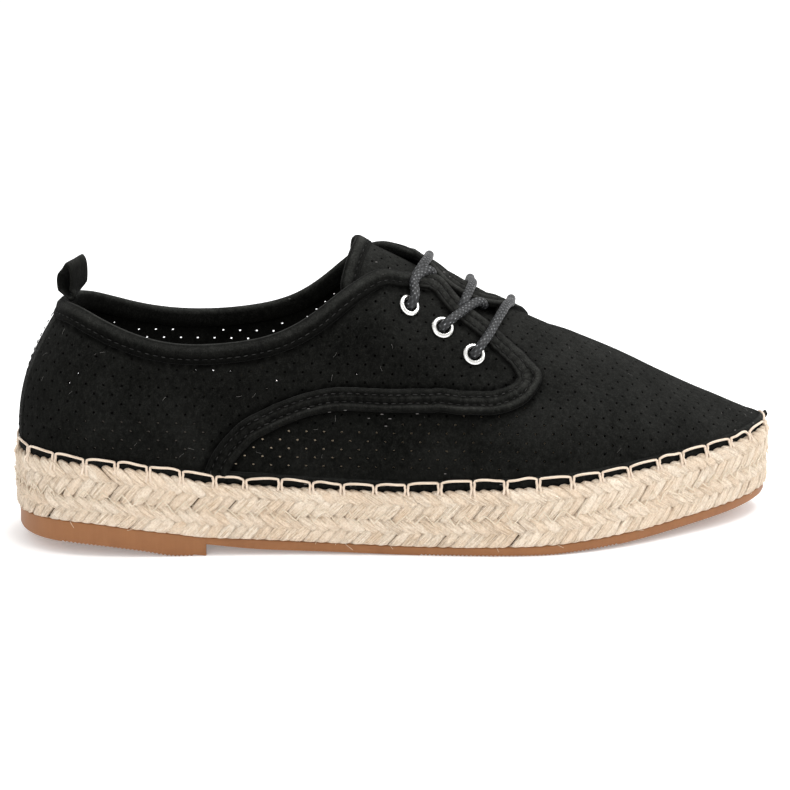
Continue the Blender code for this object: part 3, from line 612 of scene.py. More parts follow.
def finish_piece(obj, material, *nodes, slot, smooth=40.0):
    """Material, shading, body, the CAD nodes that the piece stands for, and its finish in the record."""
    obj.data.materials.clear()
    obj.data.materials.append(material)
    only(obj)
    if smooth >= 180.0:
        bpy.ops.object.shade_smooth()
    else:
        bpy.ops.object.shade_smooth_by_angle(angle=math.radians(smooth))
    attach(obj, "root")
    if nodes:
        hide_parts(*nodes)
    print(obj.name, len(obj.data.polygons), "faces")


# %% Cords and strips
def frames_along(path):
    """Two unit vectors across a path at each of its points, which carry a ring without twisting."""
    along = unit(np.gradient(path, axis=0))
    side = np.cross(along[0], (0.31, 0.47, 0.83))
    sides = []
    for ahead in along:
        side = side - ahead * (side @ ahead)
        side = side / np.linalg.norm(side)
        sides.append(side)
    return np.array(sides), np.cross(along, sides)


def tube(path, radius, sides):
    """Points, faces and UVs (length, turn) of a round cord along a path."""
    side, out = frames_along(path)
    turn = np.arange(sides) / sides * 2.0 * math.pi
    ring = (side[:, None] * np.cos(turn)[None, :, None] + out[:, None] * np.sin(turn)[None, :, None])
    half_turn = np.abs(np.arange(sides) / sides - 0.5)
    uv = np.column_stack((np.repeat(length_along(path), sides), np.tile(half_turn, len(path))))
    return (path[:, None] + ring * radius).reshape(-1, 3), ring_faces(len(path), sides), uv


def joined(parts):
    """Several (points, faces, uv) as one."""
    points, faces, uv, first = [], [], [], 0
    for part_points, part_faces, part_uv in parts:
        points.append(part_points)
        faces += [[i + first for i in face] for face in part_faces]
        uv.append(part_uv)
        first += len(part_points)
    return np.vstack(points), faces, np.vstack(uv)


print("a cord of two rings and eight sides has", len(ring_faces(2, 8)), "faces with its lids")

# %% [markdown]
# ## Finishes
#
# Effects that several materials share are node groups: a fine nap, fibres along a cord, and small
# clouds of lighter and darker tone. A group gives back colours, masks and heights only, and each
# material keeps its own shader.


# %% Node helpers
def new_group(name, inputs, outputs):
    """A node group from rows of (label, kind, value) and (label, kind), with its two end nodes."""
    group = bpy.data.node_groups.new(name, "ShaderNodeTree")
    for label, kind, value in inputs:
        socket = group.interface.new_socket(name=label, in_out="INPUT", socket_type=kind)
        if value is not None:
            socket.default_value = value
    for label, kind in outputs:
        group.interface.new_socket(name=label, in_out="OUTPUT", socket_type=kind)
    return group, group.nodes.new("NodeGroupInput"), group.nodes.new("NodeGroupOutput")


class Wiring:
    """Short words for adding and joining shader nodes."""

    def __init__(self, tree):
        self.tree = tree

    def put(self, socket, value):
        """Join another node's socket to this one, or set a plain value on it."""
        if isinstance(value, bpy.types.NodeSocket):
            self.tree.links.new(value, socket)
        else:
            socket.default_value = value

    def finish(self, shader, **values):
        """Fill the shader's sockets: `base_color` is its Base Color, and so on."""
        for name, value in values.items():
            words = " ".join(word.upper() if word == "ior" else word.capitalize() for word in name.split("_"))
            self.put(shader[words], value)

    def add(self, kind, **settings):
        node = self.tree.nodes.new(kind)
        for key, value in settings.items():
            setattr(node, key, value)
        return node

    def math(self, operation, a, b=0.0, clamp=False):
        node = self.add("ShaderNodeMath", operation=operation, use_clamp=clamp)
        self.put(node.inputs[0], a)
        self.put(node.inputs[1], b)
        return node.outputs[0]

    def mix(self, share, a, b, blend="MIX"):
        """Colour a where share is 0 and b where it is 1; colours are (red, green, blue)."""
        node = self.add("ShaderNodeMix", data_type="RGBA", blend_type=blend)
        for name, value in (("Factor", share), ("A", a), ("B", b)):
            self.put(node.inputs[name], (*value, 1.0) if isinstance(value, tuple) else value)
        return node.outputs["Result"]

    def spread(self, value, low, high, to_low=0.0, to_high=1.0):
        """The value, read from low..high and carried over to to_low..to_high."""
        node = self.add("ShaderNodeMapRange")
        for i, number in enumerate((value, low, high, to_low, to_high)):
            self.put(node.inputs[i], number)
        return node.outputs[0]

    def noise(self, vector, scale, detail=2.0, roughness=0.5):
        node = self.add("ShaderNodeTexNoise")
        settings = (("Vector", vector), ("Scale", scale), ("Detail", detail), ("Roughness", roughness))
        for name, value in settings:
            self.put(node.inputs[name], value)
        return node.outputs["Fac"]

    def place(self, vector, scale, rotation=(0.0, 0.0, 0.0)):
        node = self.add("ShaderNodeMapping")
        self.put(node.inputs["Vector"], vector)
        node.inputs["Rotation"].default_value = rotation
        node.inputs["Scale"].default_value = scale
        return node.outputs["Vector"]

    def bump(self, height, strength, distance):
        node = self.add("ShaderNodeBump")
        self.put(node.inputs["Height"], height)
        node.inputs["Strength"].default_value = strength
        node.inputs["Distance"].default_value = distance
        return node.outputs["Normal"]

    def group(self, group, **values):
        node = self.add("ShaderNodeGroup")
        node.node_tree = group
        for key, value in values.items():
            self.put(node.inputs[key.replace("_", " ").capitalize()], value)
        return node.outputs

    def coords(self, kind="Object"):
        return self.add("ShaderNodeTexCoord").outputs[kind]

    def cloudy(self, size):
        """The shared clouds, `size` of them to the metre."""
        return self.group(clouds, vector=self.coords(), scale=size)["Mask"]

    def value_of(self, name):
        return self.add("ShaderNodeAttribute", attribute_name=name).outputs["Fac"]


def new_material(name):
    material = bpy.data.materials.new(name)
    material.use_nodes = True
    wiring = Wiring(material.node_tree)
    print("material:", name)
    return material, wiring, material.node_tree.nodes["Principled BSDF"].inputs


# %% Shared effects
def make_clouds():
    """Soft tone clouds: a mask around 0.5 at one size, broken up by a finer one."""
    group, enter, leave = new_group("tone_clouds", (("Vector", "NodeSocketVector", None),
                                                    ("Scale", "NodeSocketFloat", 40.0)),
                                    (("Mask", "NodeSocketFloat"),))
    w = Wiring(group)
    cloudy = w.noise(enter.outputs["Vector"], enter.outputs["Scale"], 5.0, 0.6)
    w.put(leave.inputs["Mask"], w.spread(cloudy, 0.3, 0.7))
    return group


def make_nap():
    """Short raised fibres of suede: fine grain height, and pale lint caught here and there."""
    group, enter, leave = new_group("suede_nap", (("Vector", "NodeSocketVector", None),),
                                    (("Height", "NodeSocketFloat"), ("Lint", "NodeSocketFloat"),
                                     ("Grain", "NodeSocketFloat")))
    w = Wiring(group)
    vector = enter.outputs["Vector"]
    fine = w.noise(vector, 2600.0, 3.0, 0.75)
    brushed = w.noise(w.place(vector, scale=(1.0, 1.6, 0.7)), 700.0, 4.0, 0.65)
    height = w.math("ADD", w.math("MULTIPLY", fine, 0.6), w.math("MULTIPLY", brushed, 0.4))
    grain = w.math("MULTIPLY", w.spread(fine, 0.38, 0.66), w.spread(brushed, 0.30, 0.70))
    w.put(leave.inputs["Height"], height)
    w.put(leave.inputs["Grain"], grain)
    stretched = w.place(vector, scale=(0.5, 1.0, 1.9), rotation=(0.4, 0.6, 0.3))
    spots = w.add("ShaderNodeTexVoronoi")
    w.put(spots.inputs["Vector"], stretched)
    w.put(spots.inputs["Scale"], 300.0)
    near = w.math("LESS_THAN", spots.outputs["Distance"], 0.085)
    lucky = w.math("GREATER_THAN", w.noise(spots.outputs["Position"], 31.0, 0.0), 0.68)
    w.put(leave.inputs["Lint"], w.math("MULTIPLY", near, lucky))
    return group


def make_fibres():
    """Lengthwise fibres for a UV of (millimetres along, turn): height and tone."""
    group, enter, leave = new_group("fibres", (("Vector", "NodeSocketVector", None),
                                               ("Fineness", "NodeSocketFloat", 14.0)),
                                    (("Height", "NodeSocketFloat"), ("Tone", "NodeSocketFloat")))
    w = Wiring(group)
    split = w.add("ShaderNodeSeparateXYZ")
    w.put(split.inputs[0], enter.outputs["Vector"])
    joint = w.add("ShaderNodeCombineXYZ")
    w.put(joint.inputs[0], w.math("MULTIPLY", split.outputs[0], 0.16))
    w.put(joint.inputs[1], w.math("MULTIPLY", split.outputs[1], enter.outputs["Fineness"]))
    w.put(joint.inputs[2], split.outputs[2])
    lines = w.noise(joint.outputs[0], 1.0, 4.0, 0.65)
    w.put(leave.inputs["Height"], w.spread(lines, 0.25, 0.75))
    w.put(leave.inputs["Tone"], w.spread(lines, 0.35, 0.62))
    return group


clouds, nap, fibres = make_clouds(), make_nap(), make_fibres()
print("node groups:", clouds.name, nap.name, fibres.name)

# %% [markdown]
# ## Outsole
#
# A thin sheet of gum rubber with a low heel moulded on. The real one is pressed in one mould, so it is
# one piece here: a grid laid to the plan, extruded down in three steps whose edges step in a little,
# which leaves softly rounded rims. Fine cross ribs give grip under the heel and the ball.


# %% Sole sheets
RUBBER_LENGTH = OUTLINE[-1, 0] - OUTLINE[0, 0] - 2 * OUTSOLE_INSET
print("rubber sheet: %.1f mm long" % RUBBER_LENGTH)


def stations(count):
    """Shares of the length from 0 to 1, closer together towards both ends."""
    return (1.0 - np.cos(np.pi * np.arange(count + 1) / count)) / 2.0


def sole_sheet(name, along, levels, columns=8):
    """Closed sheet on the sole's plan. `levels` are (inset, height function), from the top down."""
    obj = start_from(bpy.ops.mesh.primitive_grid_add, name, size=2.0,
                     x_subdivisions=len(along) - 1, y_subdivisions=columns)
    start = take(obj)
    step = np.rint((start[:, 0] + 1.0) / 2.0 * (len(along) - 1)).astype(int)
    share = (start[:, 1] + 1.0) / 2.0

    def laid(inset, height):
        curve = inset_plan(inset)
        toe = int(np.argmax(curve[:, 0]))
        lateral, medial = curve[:toe + 1], np.vstack((curve[toe:], curve[:1]))[::-1]
        x = lateral[0, 0] + (lateral[-1, 0] - lateral[0, 0]) * along[step]
        order, back = np.argsort(lateral[:, 0]), np.argsort(medial[:, 0])
        y_low = np.interp(x, lateral[order, 0], lateral[order, 1])
        y_high = np.interp(x, medial[back, 0], medial[back, 1])
        tip = (step == 0) | (step == len(along) - 1)
        middle = np.where(step == 0, lateral[0, 1], lateral[-1, 1])
        y = np.where(tip, middle, y_low + (y_high - y_low) * share)
        nominal = RUBBER_LENGTH * (along[step] - 0.5)
        return np.column_stack((x, y, height(nominal)))

    places = [to_row(laid(*level)) for level in levels]
    give(obj, places[0])
    for before, place in zip(places, places[1:]):
        edit_tail(obj, before, place)
    return face_outwards(obj, merge=1e-6)


def edit_tail(obj, before, place):
    """Extrude the faces of the last level, which lie at `before`, and put them at `place`."""
    only(obj)
    bpy.ops.object.mode_set(mode="EDIT")
    bpy.ops.mesh.select_mode(type="FACE")
    if len(obj.data.vertices) == len(place):
        bpy.ops.mesh.select_all(action="SELECT")
    bpy.ops.mesh.extrude_region_move()
    bpy.ops.object.mode_set(mode="OBJECT")
    known = {tuple(p): k for k, p in enumerate(before.astype(np.float32).tolist())}
    points = take(obj)
    for vertex in obj.data.vertices:
        if vertex.select:
            points[vertex.index] = place[known[tuple(vertex.co)]]
    give(obj, points)


# %% Outsole
TREAD_PITCH = 1.35
TREAD_DEPTH = 0.5
TREAD_ZONES = ((-117.0, -73.0), (2.0, 70.0))


def outsole_stations():
    first = OUTLINE[0, 0] + OUTSOLE_INSET
    spots = [first + RUBBER_LENGTH * s for s in stations(70)]
    spots = [x for x in spots if not any(a - 1 < x < b + 1 for a, b in TREAD_ZONES)]
    for a, b in TREAD_ZONES:
        spots += list(np.arange(a, b, TREAD_PITCH / 2))
    spots += [BREAST - 0.01, BREAST + 0.01]
    return (np.array(sorted(spots)) - first) / RUBBER_LENGTH


def ribbed_tread(x):
    z = tread_height(x)
    for a, b in TREAD_ZONES:
        groove = np.rint((x - a) / (TREAD_PITCH / 2)).astype(int) % 2 == 1
        z = np.where(groove & (x > a + 0.1) & (x < b - 0.1), z + TREAD_DEPTH, z)
    return z


outsole = sole_sheet("gum_outsole", outsole_stations(), (
    (OUTSOLE_INSET + 0.4, outsole_top),
    (OUTSOLE_INSET, lambda x: outsole_top(x) - 0.5),
    (OUTSOLE_INSET - 0.1, lambda x: tread_height(x) + 0.8),
    (OUTSOLE_INSET + 0.25, ribbed_tread),
), columns=10)
print("outsole:", len(outsole.data.polygons), "faces")

# %% Rubber finish
gum, w, shader = new_material("gum_rubber")
where = w.coords()
cloud = w.cloudy(55.0)
tone = w.mix(cloud, (0.228, 0.094, 0.035), (0.278, 0.120, 0.046))
drawn = w.noise(w.place(where, scale=(700.0, 700.0, 60.0)), 1.0, 2.0)
tone = w.mix(w.spread(drawn, 0.45, 0.75, 0.0, 0.10), tone, (0.40, 0.19, 0.085))
w.finish(shader, base_color=tone, roughness=w.spread(cloud, 0.0, 1.0, 0.42, 0.55),
         normal=w.bump(w.noise(where, 2600.0, 3.0), 0.25, 0.0002), specular_ior_level=0.25)
finish_piece(outsole, gum, "outsole", slot="gum_rubber", smooth=35.0)

# %% [markdown]
# ## Jute platform
#
# The platform is a flat plait of jute wound round the sole twice, one row on the other. From the side
# each row shows two lines of short fat strands that lean towards each other, like a herringbone. One
# strand is modelled, a circle extruded and swelled along its length, and it is copied round the sole.
# Each copy is bent onto the row: it comes over the edge, bulges, and dives under the opposite line.

# %% Core of the platform
core = sole_sheet("jute_core", stations(64), (
    (4.4, lambda x: platform_top(x) - 0.2),
    (3.2, lambda x: platform_top(x) - 1.4),
    (2.6, lambda x: (platform_top(x) + outsole_top(x)) / 2.0),
    (3.0, lambda x: outsole_top(x) + 1.2),
    (4.0, lambda x: outsole_top(x) + 0.1),
))
print("core of the platform:", len(core.data.polygons), "faces")


# %% One strand
STRAND_SIDES = 12
STRAND_STEPS = 6


def model_strand():
    """A unit strand along X from 0 to 1, squarish, full in the middle and pinched at its ends."""
    obj = start_from(bpy.ops.mesh.primitive_circle_add, "strand", vertices=STRAND_SIDES, radius=0.5,
                     fill_type="NGON", rotation=(0.0, math.pi / 2, 0.0))
    bpy.ops.object.transform_apply(location=False, rotation=True, scale=False)
    bpy.ops.object.mode_set(mode="EDIT")
    bpy.ops.mesh.select_all(action="SELECT")
    for k in range(1, STRAND_STEPS + 1):
        bpy.ops.mesh.extrude_region_move(TRANSFORM_OT_translate={"value": (1.0 / STRAND_STEPS, 0.0, 0.0)})
    bpy.ops.object.mode_set(mode="OBJECT")
    points = take(obj)
    swell = 0.72 + 0.28 * np.sin(np.pi * np.clip(points[:, 0], 0.0, 1.0))**0.7
    square = np.sign(points[:, 1:]) * np.abs(2.0 * points[:, 1:])**0.88 / 2.0
    points[:, 1:] = square * swell[:, None]
    give(obj, points)
    return lift_off(face_outwards(obj))


strand_points, strand_faces = model_strand()
strand_faces = [face[::-1] for face in strand_faces]
strand_turn = np.arctan2(strand_points[:, 1], -strand_points[:, 2]) / (2 * math.pi)
strand_side = np.clip(np.maximum(4.0 * np.abs(strand_turn), strand_points[:, 0] * 6.0 - 5.0), 0.0, 1.0)
print("a strand has", len(strand_faces), "faces")


# %% Rows of strands
def row_band(x, row):
    """Bottom and top of a plaited row above x."""
    low, high = outsole_top(x), platform_top(x)
    middle = (low + high) / 2.0
    return (low, middle) if row == 0 else (middle, high)


# A strand's middle line: share of its length, share of the row's height, millimetres behind the rim.
UPPER_STRAND = np.array(((0.0, 1.02, 3.6), (0.15, 0.94, 2.0), (0.4, 0.78, 1.25), (0.68, 0.60, 1.1),
                         (0.86, 0.49, 1.4), (1.0, 0.40, 2.4)))
LOWER_STRAND = np.array(((0.0, -0.14, 1.9), (0.18, 0.00, 1.35), (0.45, 0.22, 1.15), (0.72, 0.42, 1.2),
                         (0.9, 0.55, 1.6), (1.0, 0.62, 2.5)))
FLAT_TOP = 0.9
# How far the plait's top edge stands above or below the platform, along the shoe.
JUTE_SWELL = ((-132.0, -120.0, -85.0, -68.0, -50.0, -25.0, 0.0), (0.8, 1.6, 1.5, -0.3, -0.7, -0.4, 0.0))


def lay_strand(start, run, route, row, width, depth, lift, twist):
    """One copy of the strand, bent along its route from arc length `start`."""
    u, across, out = strand_points[:, 0], strand_points[:, 1], -strand_points[:, 2]
    height = even_curve(route[:, 0], route[:, 1], u) + lift
    behind = even_curve(route[:, 0], route[:, 2], u)
    rise = (even_curve(route[:, 0], route[:, 1], np.minimum(u + 0.02, 1.0))
            - even_curve(route[:, 0], route[:, 1], np.maximum(u - 0.02, 0.0)))
    slope = rise / np.clip(np.minimum(u + 0.02, 1.0) - np.maximum(u - 0.02, 0.0), 0.01, 1.0) * 10.0 / run
    norm = np.sqrt(1.0 + slope**2)
    ripple = 1.0 + 0.05 * np.cos(4 * 2 * math.pi * strand_turn + 2.0 * u + twist)
    side = across * width * ripple
    arc = start + run * u - side * slope / norm
    place = rim.at(arc)
    outward = rim.outward(arc)
    low, high = row_band(place[:, 0], row)
    high = high + row * np.interp(place[:, 0], *JUTE_SWELL)
    z = low + (high - low) * height + side / norm
    if row == 0:
        z = np.maximum(z, low + 0.05)
    else:
        z = np.where(z > high - FLAT_TOP, high - FLAT_TOP + 0.4 * (z - high + FLAT_TOP), z)
    xy = place + outward * (out * depth * ripple - behind)[:, None]
    return np.column_stack((xy, z))


# Millimetres from strand to strand in the lower and the upper row.
STRAND_PITCH = (4.1, 3.9)
# The two lines of strands in a row: route, millimetres a strand runs on, share of a pitch it starts late.
STRAND_LINES = ((LOWER_STRAND, 7.0, 0.0), (UPPER_STRAND, 9.4, 0.5))


def plait_row(row):
    """One plaited row: at each step a strand of the lower line, then one of the upper line."""
    parts, tones = [], []
    count = int(round(rim.length / STRAND_PITCH[row]))
    pitch = rim.length / count
    for k in range(count):
        for route, run, turn in STRAND_LINES:
            shake = dice.normal(0.0, 1.0, 6)
            start = (k + turn) * pitch + 0.3 * shake[0] - (0.0 if turn else 2.4)
            points = lay_strand(start, run + 0.4 * shake[1], route, row, 3.75 + 0.25 * shake[2],
                                2.05 + 0.15 * shake[3], 0.012 * shake[4], 6.0 * dice.random())
            uv = np.column_stack((strand_points[:, 0] * 9.0 + 13.0 * k, np.abs(strand_turn) + k % 7))
            parts.append((points, strand_faces, uv))
            tones.append(np.full(len(points), dice.random()))
    return mesh_piece(f"jute_plait_{'upper' if row else 'lower'}", *joined(parts),
                      tone=np.concatenate(tones), side=np.tile(strand_side, len(parts)))


plaits = [plait_row(0), plait_row(1)]

# %% Jute finish
jute, w, shader = new_material("plaited_jute")
grooves = w.group(fibres, vector=w.coords("UV"), fineness=24.0)
tone = w.value_of("tone")
# Painted shade on the sides and ends of each strand, where it presses against its neighbours.
crevice_shade = w.spread(w.value_of("side"), 0.70, 0.97, 0.0, 0.70)
pale = w.mix(tone, (0.88, 0.71, 0.54), (0.97, 0.84, 0.685))
pale = w.mix(w.spread(grooves["Tone"], 0.0, 0.55, 0.8, 0.0), pale, (0.46, 0.31, 0.18))
cloud = w.cloudy(130.0)
pale = w.mix(w.spread(cloud, 0.55, 1.0, 0.0, 0.30), pale, (0.93, 0.82, 0.67))
grain = w.noise(w.coords(), 1600.0, 3.0, 0.65)
pale = w.mix(w.spread(grain, 0.36, 0.56, 0.45, 0.0), pale, (0.58, 0.41, 0.26))
pale = w.mix(w.spread(grain, 0.55, 0.75, 0.0, 0.5), pale, (0.98, 0.88, 0.75))
pale = w.mix(crevice_shade, pale, (0.43, 0.26, 0.13))
w.finish(shader, base_color=pale, roughness=0.8, specular_ior_level=0.25, sheen_weight=0.15,
         normal=w.bump(w.math("ADD", grooves["Height"], w.math("MULTIPLY", grain, 0.5)), 1.0, 0.0007))
shade, w, shader = new_material("jute_shadow")
cloud = w.cloudy(300.0)
w.finish(shader, base_color=w.mix(cloud, (0.22, 0.14, 0.075), (0.42, 0.30, 0.18)), roughness=0.95,
         normal=w.bump(w.noise(w.coords(), 900.0, 4.0), 0.8, 0.0008))
finish_piece(core, shade, slot="plaited_jute")
for plait, node in zip(plaits, ("jute_lower", "jute_upper")):
    finish_piece(plait, jute, node, slot="plaited_jute", smooth=60.0)

# %% [markdown]
# ### Loose threads and fibres
#
# A thin cotton thread zigzags over the joint between the two rows and holds them together. Jute also
# sheds: short fibres stand off the plait everywhere. Both are drawn as fine tubes with few sides, and
# each kind is one joined mesh.

# %% Zigzag thread
THREAD_RADIUS = 0.2
ZIGZAG_STEP = 3.3


def rim_point(arc, z, behind):
    place = rim.at(arc)
    return np.column_stack((place - rim.outward(arc) * np.reshape(behind, (-1, 1)), z))


def zigzag_thread():
    count = int(rim.length / ZIGZAG_STEP / 2) * 2
    arc = np.arange(count + 1) * rim.length / count + np.append(dice.normal(0.0, 0.35, count), 0.0)
    swing = np.where(np.arange(count + 1) % 2 == 0, 1.0, -1.0) * dice.uniform(1.3, 2.5, count + 1)
    share = np.linspace(0.0, 1.0, 4, endpoint=False)
    fine_arc = (arc[:-1, None] + np.diff(arc)[:, None] * share).ravel()
    fine_swing = (swing[:-1, None] + np.diff(swing)[:, None] * share).ravel()
    x = rim.at(fine_arc)[:, 0]
    middle = (outsole_top(x) + platform_top(x)) / 2.0
    behind = -0.12 + 0.75 * np.exp(-(fine_swing / 0.8)**2)
    print("zigzag thread:", count, "turns")
    return tube(rim_point(fine_arc, middle + fine_swing, behind), THREAD_RADIUS, 5)


# %% Fibres that stand off the plait
def stray_fibres(count):
    parts = []
    for _ in range(count):
        arc = dice.uniform(0.0, rim.length)
        share = dice.uniform(0.03, 1.0)
        x = rim.at([arc])[0, 0]
        z = outsole_top(x) + (platform_top(x) - outsole_top(x)) * share
        length = dice.uniform(2.0, 6.5)
        along = dice.normal(0.0, 1.0) * length * 0.55
        rise = dice.normal(-0.1, 0.5) * length * 0.5
        out = dice.uniform(0.15, 1.0) * length * 0.30
        curl = dice.normal(0.0, 0.8)
        s = np.linspace(0.0, 1.0, 6)
        path = rim_point(arc + along * s + curl * s**2, z + rise * s - 0.6 * s**2,
                         0.5 - (out + 0.5) * np.sin(s * dice.uniform(1.6, 2.9)))
        parts.append(tube(path, 0.055, 4))
    return joined(parts)


zigzag = mesh_piece("joining_thread", *zigzag_thread())
points, faces, uv = stray_fibres(900)
strays = mesh_piece("stray_fibres", points, faces, uv, tone=np.full(len(points), 0.8))
pale_thread, w, shader = new_material("pale_thread")
grooves = w.group(fibres, vector=w.coords("UV"), fineness=6.0)
w.finish(shader, base_color=w.mix(grooves["Tone"], (0.62, 0.50, 0.36), (0.86, 0.77, 0.63)), roughness=0.7,
         normal=w.bump(grooves["Height"], 0.5, 0.0002))
finish_piece(zigzag, pale_thread, slot="plaited_jute", smooth=180.0)
finish_piece(strays, pale_thread, slot="plaited_jute", smooth=180.0)

# %% [markdown]
# ## Footbed
#
# Inside lies a thin padded footbed covered with woven cotton. Only its tone shows through the small
# holes and the collar, but it is finished all over: a sheet on the sole's plan with a rounded rim, and
# a plain weave of two threads in its finish.

# %% Footbed sheet
FOOTBED_INSET = FEATHER_INSET + 3.0


def footbed_top(x):
    return platform_top(x) + FOOT_GAP + 0.1 + (FOOTBED - 0.4) * (1.0 - soft_step((x - 92.0) / 22.0))


footbed = sole_sheet("cloth_footbed", stations(70), (
    (FOOTBED_INSET + 1.2, footbed_top),
    (FOOTBED_INSET + 0.3, lambda x: footbed_top(x) - 0.25),
    (FOOTBED_INSET, lambda x: footbed_top(x) - 0.9 * (footbed_top(x) - platform_top(x) - 0.2)),
    (FOOTBED_INSET + 0.8, lambda x: platform_top(x) + 0.05),
), columns=16)
THREAD_STEP = 0.0009
cloth, w, shader = new_material("footbed_cloth")
split = w.add("ShaderNodeSeparateXYZ")
w.put(split.inputs[0], w.coords())
one, two = (w.math("SINE", w.math("MULTIPLY", split.outputs[k], 2 * math.pi / THREAD_STEP)) for k in (0, 1))
weave = w.math("MULTIPLY", one, two)
cloud = w.cloudy(45.0)
tone = w.mix(cloud, (0.46, 0.37, 0.26), (0.60, 0.50, 0.37))
# Painted shade: behind a curved line near the heel the cloth is darkened, as the inside of the heel lies in
# shade.
bow = w.math("MULTIPLY", w.math("MULTIPLY", split.outputs[1], split.outputs[1]), 14.0)
heel_shade_line = w.math("ADD", split.outputs[0], bow)
tone = w.mix(w.spread(heel_shade_line, -0.0585, -0.0575, 0.95, 0.0), tone, (0.020, 0.017, 0.013))
tone = w.mix(w.spread(weave, -1.0, 1.0, 0.0, 0.5), tone, (0.19, 0.15, 0.10), "MULTIPLY")
w.finish(shader, base_color=tone, roughness=0.85, normal=w.bump(weave, 0.6, 0.0002))
finish_piece(footbed, cloth, "insole", slot="footbed_cloth", smooth=50.0)

# %% [markdown]
# ## Suede upper
#
# The upper is cut from imitation suede that was punched all over with a square lattice of small holes.
# Each panel is laid flat as a pattern maker would: a grid shaped on the last is unwrapped, the lattice
# is drawn on the flat piece, and every point is carried back to the last. The holes are real, so light
# comes through them. The main creases are placed as soft troughs and ridges.

# %% Creases
# Ends of each crease as (rib, height), its depth and half width in millimetres; below 0 is a ridge.
CREASES = (
    ((12.75, 0.60), (13.55, 0.47), 1.5, 2.6),
    ((12.50, 0.50), (13.35, 0.44), 1.2, 2.3),
    ((12.95, 0.66), (13.62, 0.54), 1.0, 1.9),
    ((12.30, 0.56), (12.85, 0.42), 0.9, 2.6),
    ((11.60, 0.52), (12.20, 0.40), 0.6, 3.4),
    ((4.30, 0.62), (6.40, 0.50), 0.9, 5.0),
    ((7.20, 0.66), (9.20, 0.58), 0.9, 5.5),
    ((13.95, 0.74), (15.20, 0.52), 0.7, 4.0),
    ((14.60, 0.88), (16.10, 0.70), -0.5, 5.0),
    ((1.40, 0.30), (2.10, 0.75), 0.6, 5.0),
    ((-13.4, 0.62), (-14.6, 0.46), 0.8, 3.5),
    ((-12.2, 0.52), (-13.1, 0.42), 0.8, 3.0),
    ((-5.50, 0.62), (-7.60, 0.52), 0.8, 5.0),
)


def crease_lines():
    """Each crease as points on the last, their strength along it, its depth and its width."""
    lines = []
    for (q0, s0), (q1, s1), depth, width in CREASES:
        share = np.linspace(0.0, 1.0, 13)
        line = last.points(*on_last(q0 + (q1 - q0) * share, s0 + (s1 - s0) * share))
        lines.append((line, np.sin(np.pi * share)**0.6, depth, width))
    return lines


crease_table = crease_lines()
print(len(crease_table), "creases")


def crease_height(points):
    """How far the creases lift or sink the suede at points of the last."""
    height = np.zeros(len(points))
    for line, strength, depth, width in crease_table:
        away = np.linalg.norm(points[:, None] - line[None], axis=2)
        near = np.argmin(away, axis=1)
        d = away[np.arange(len(points)), near] / width
        height -= depth * strength[near] * (np.exp(-d**2) - 0.45 * np.exp(-(d - 1.7)**2))
    return height


def lie(q, s, height=0.0):
    """Points on the upper at places (q, s), `height` above the last's surface, and their normals."""
    q, v = on_last(q, s)
    ground, normal = last.points(q, v), last.normals(q, v)
    return ground + normal * (height + crease_height(ground))[:, None], normal


# %% Laying a panel flat
def read_grid(table, i, j):
    """Values between the points of a grid, at column i and row j."""
    a = np.clip(np.floor(i).astype(int), 0, table.shape[0] - 2)
    b = np.clip(np.floor(j).astype(int), 0, table.shape[1] - 2)
    x, y = (i - a)[:, None], (j - b)[:, None]
    return ((1 - x) * (1 - y) * table[a, b] + x * (1 - y) * table[a + 1, b]
            + (1 - x) * y * table[a, b + 1] + x * y * table[a + 1, b + 1])


def turned_area(first, second):
    """Area between flat vectors, above 0 where the second lies to the left of the first."""
    return first[:, 0] * second[:, 1] - first[:, 1] * second[:, 0]


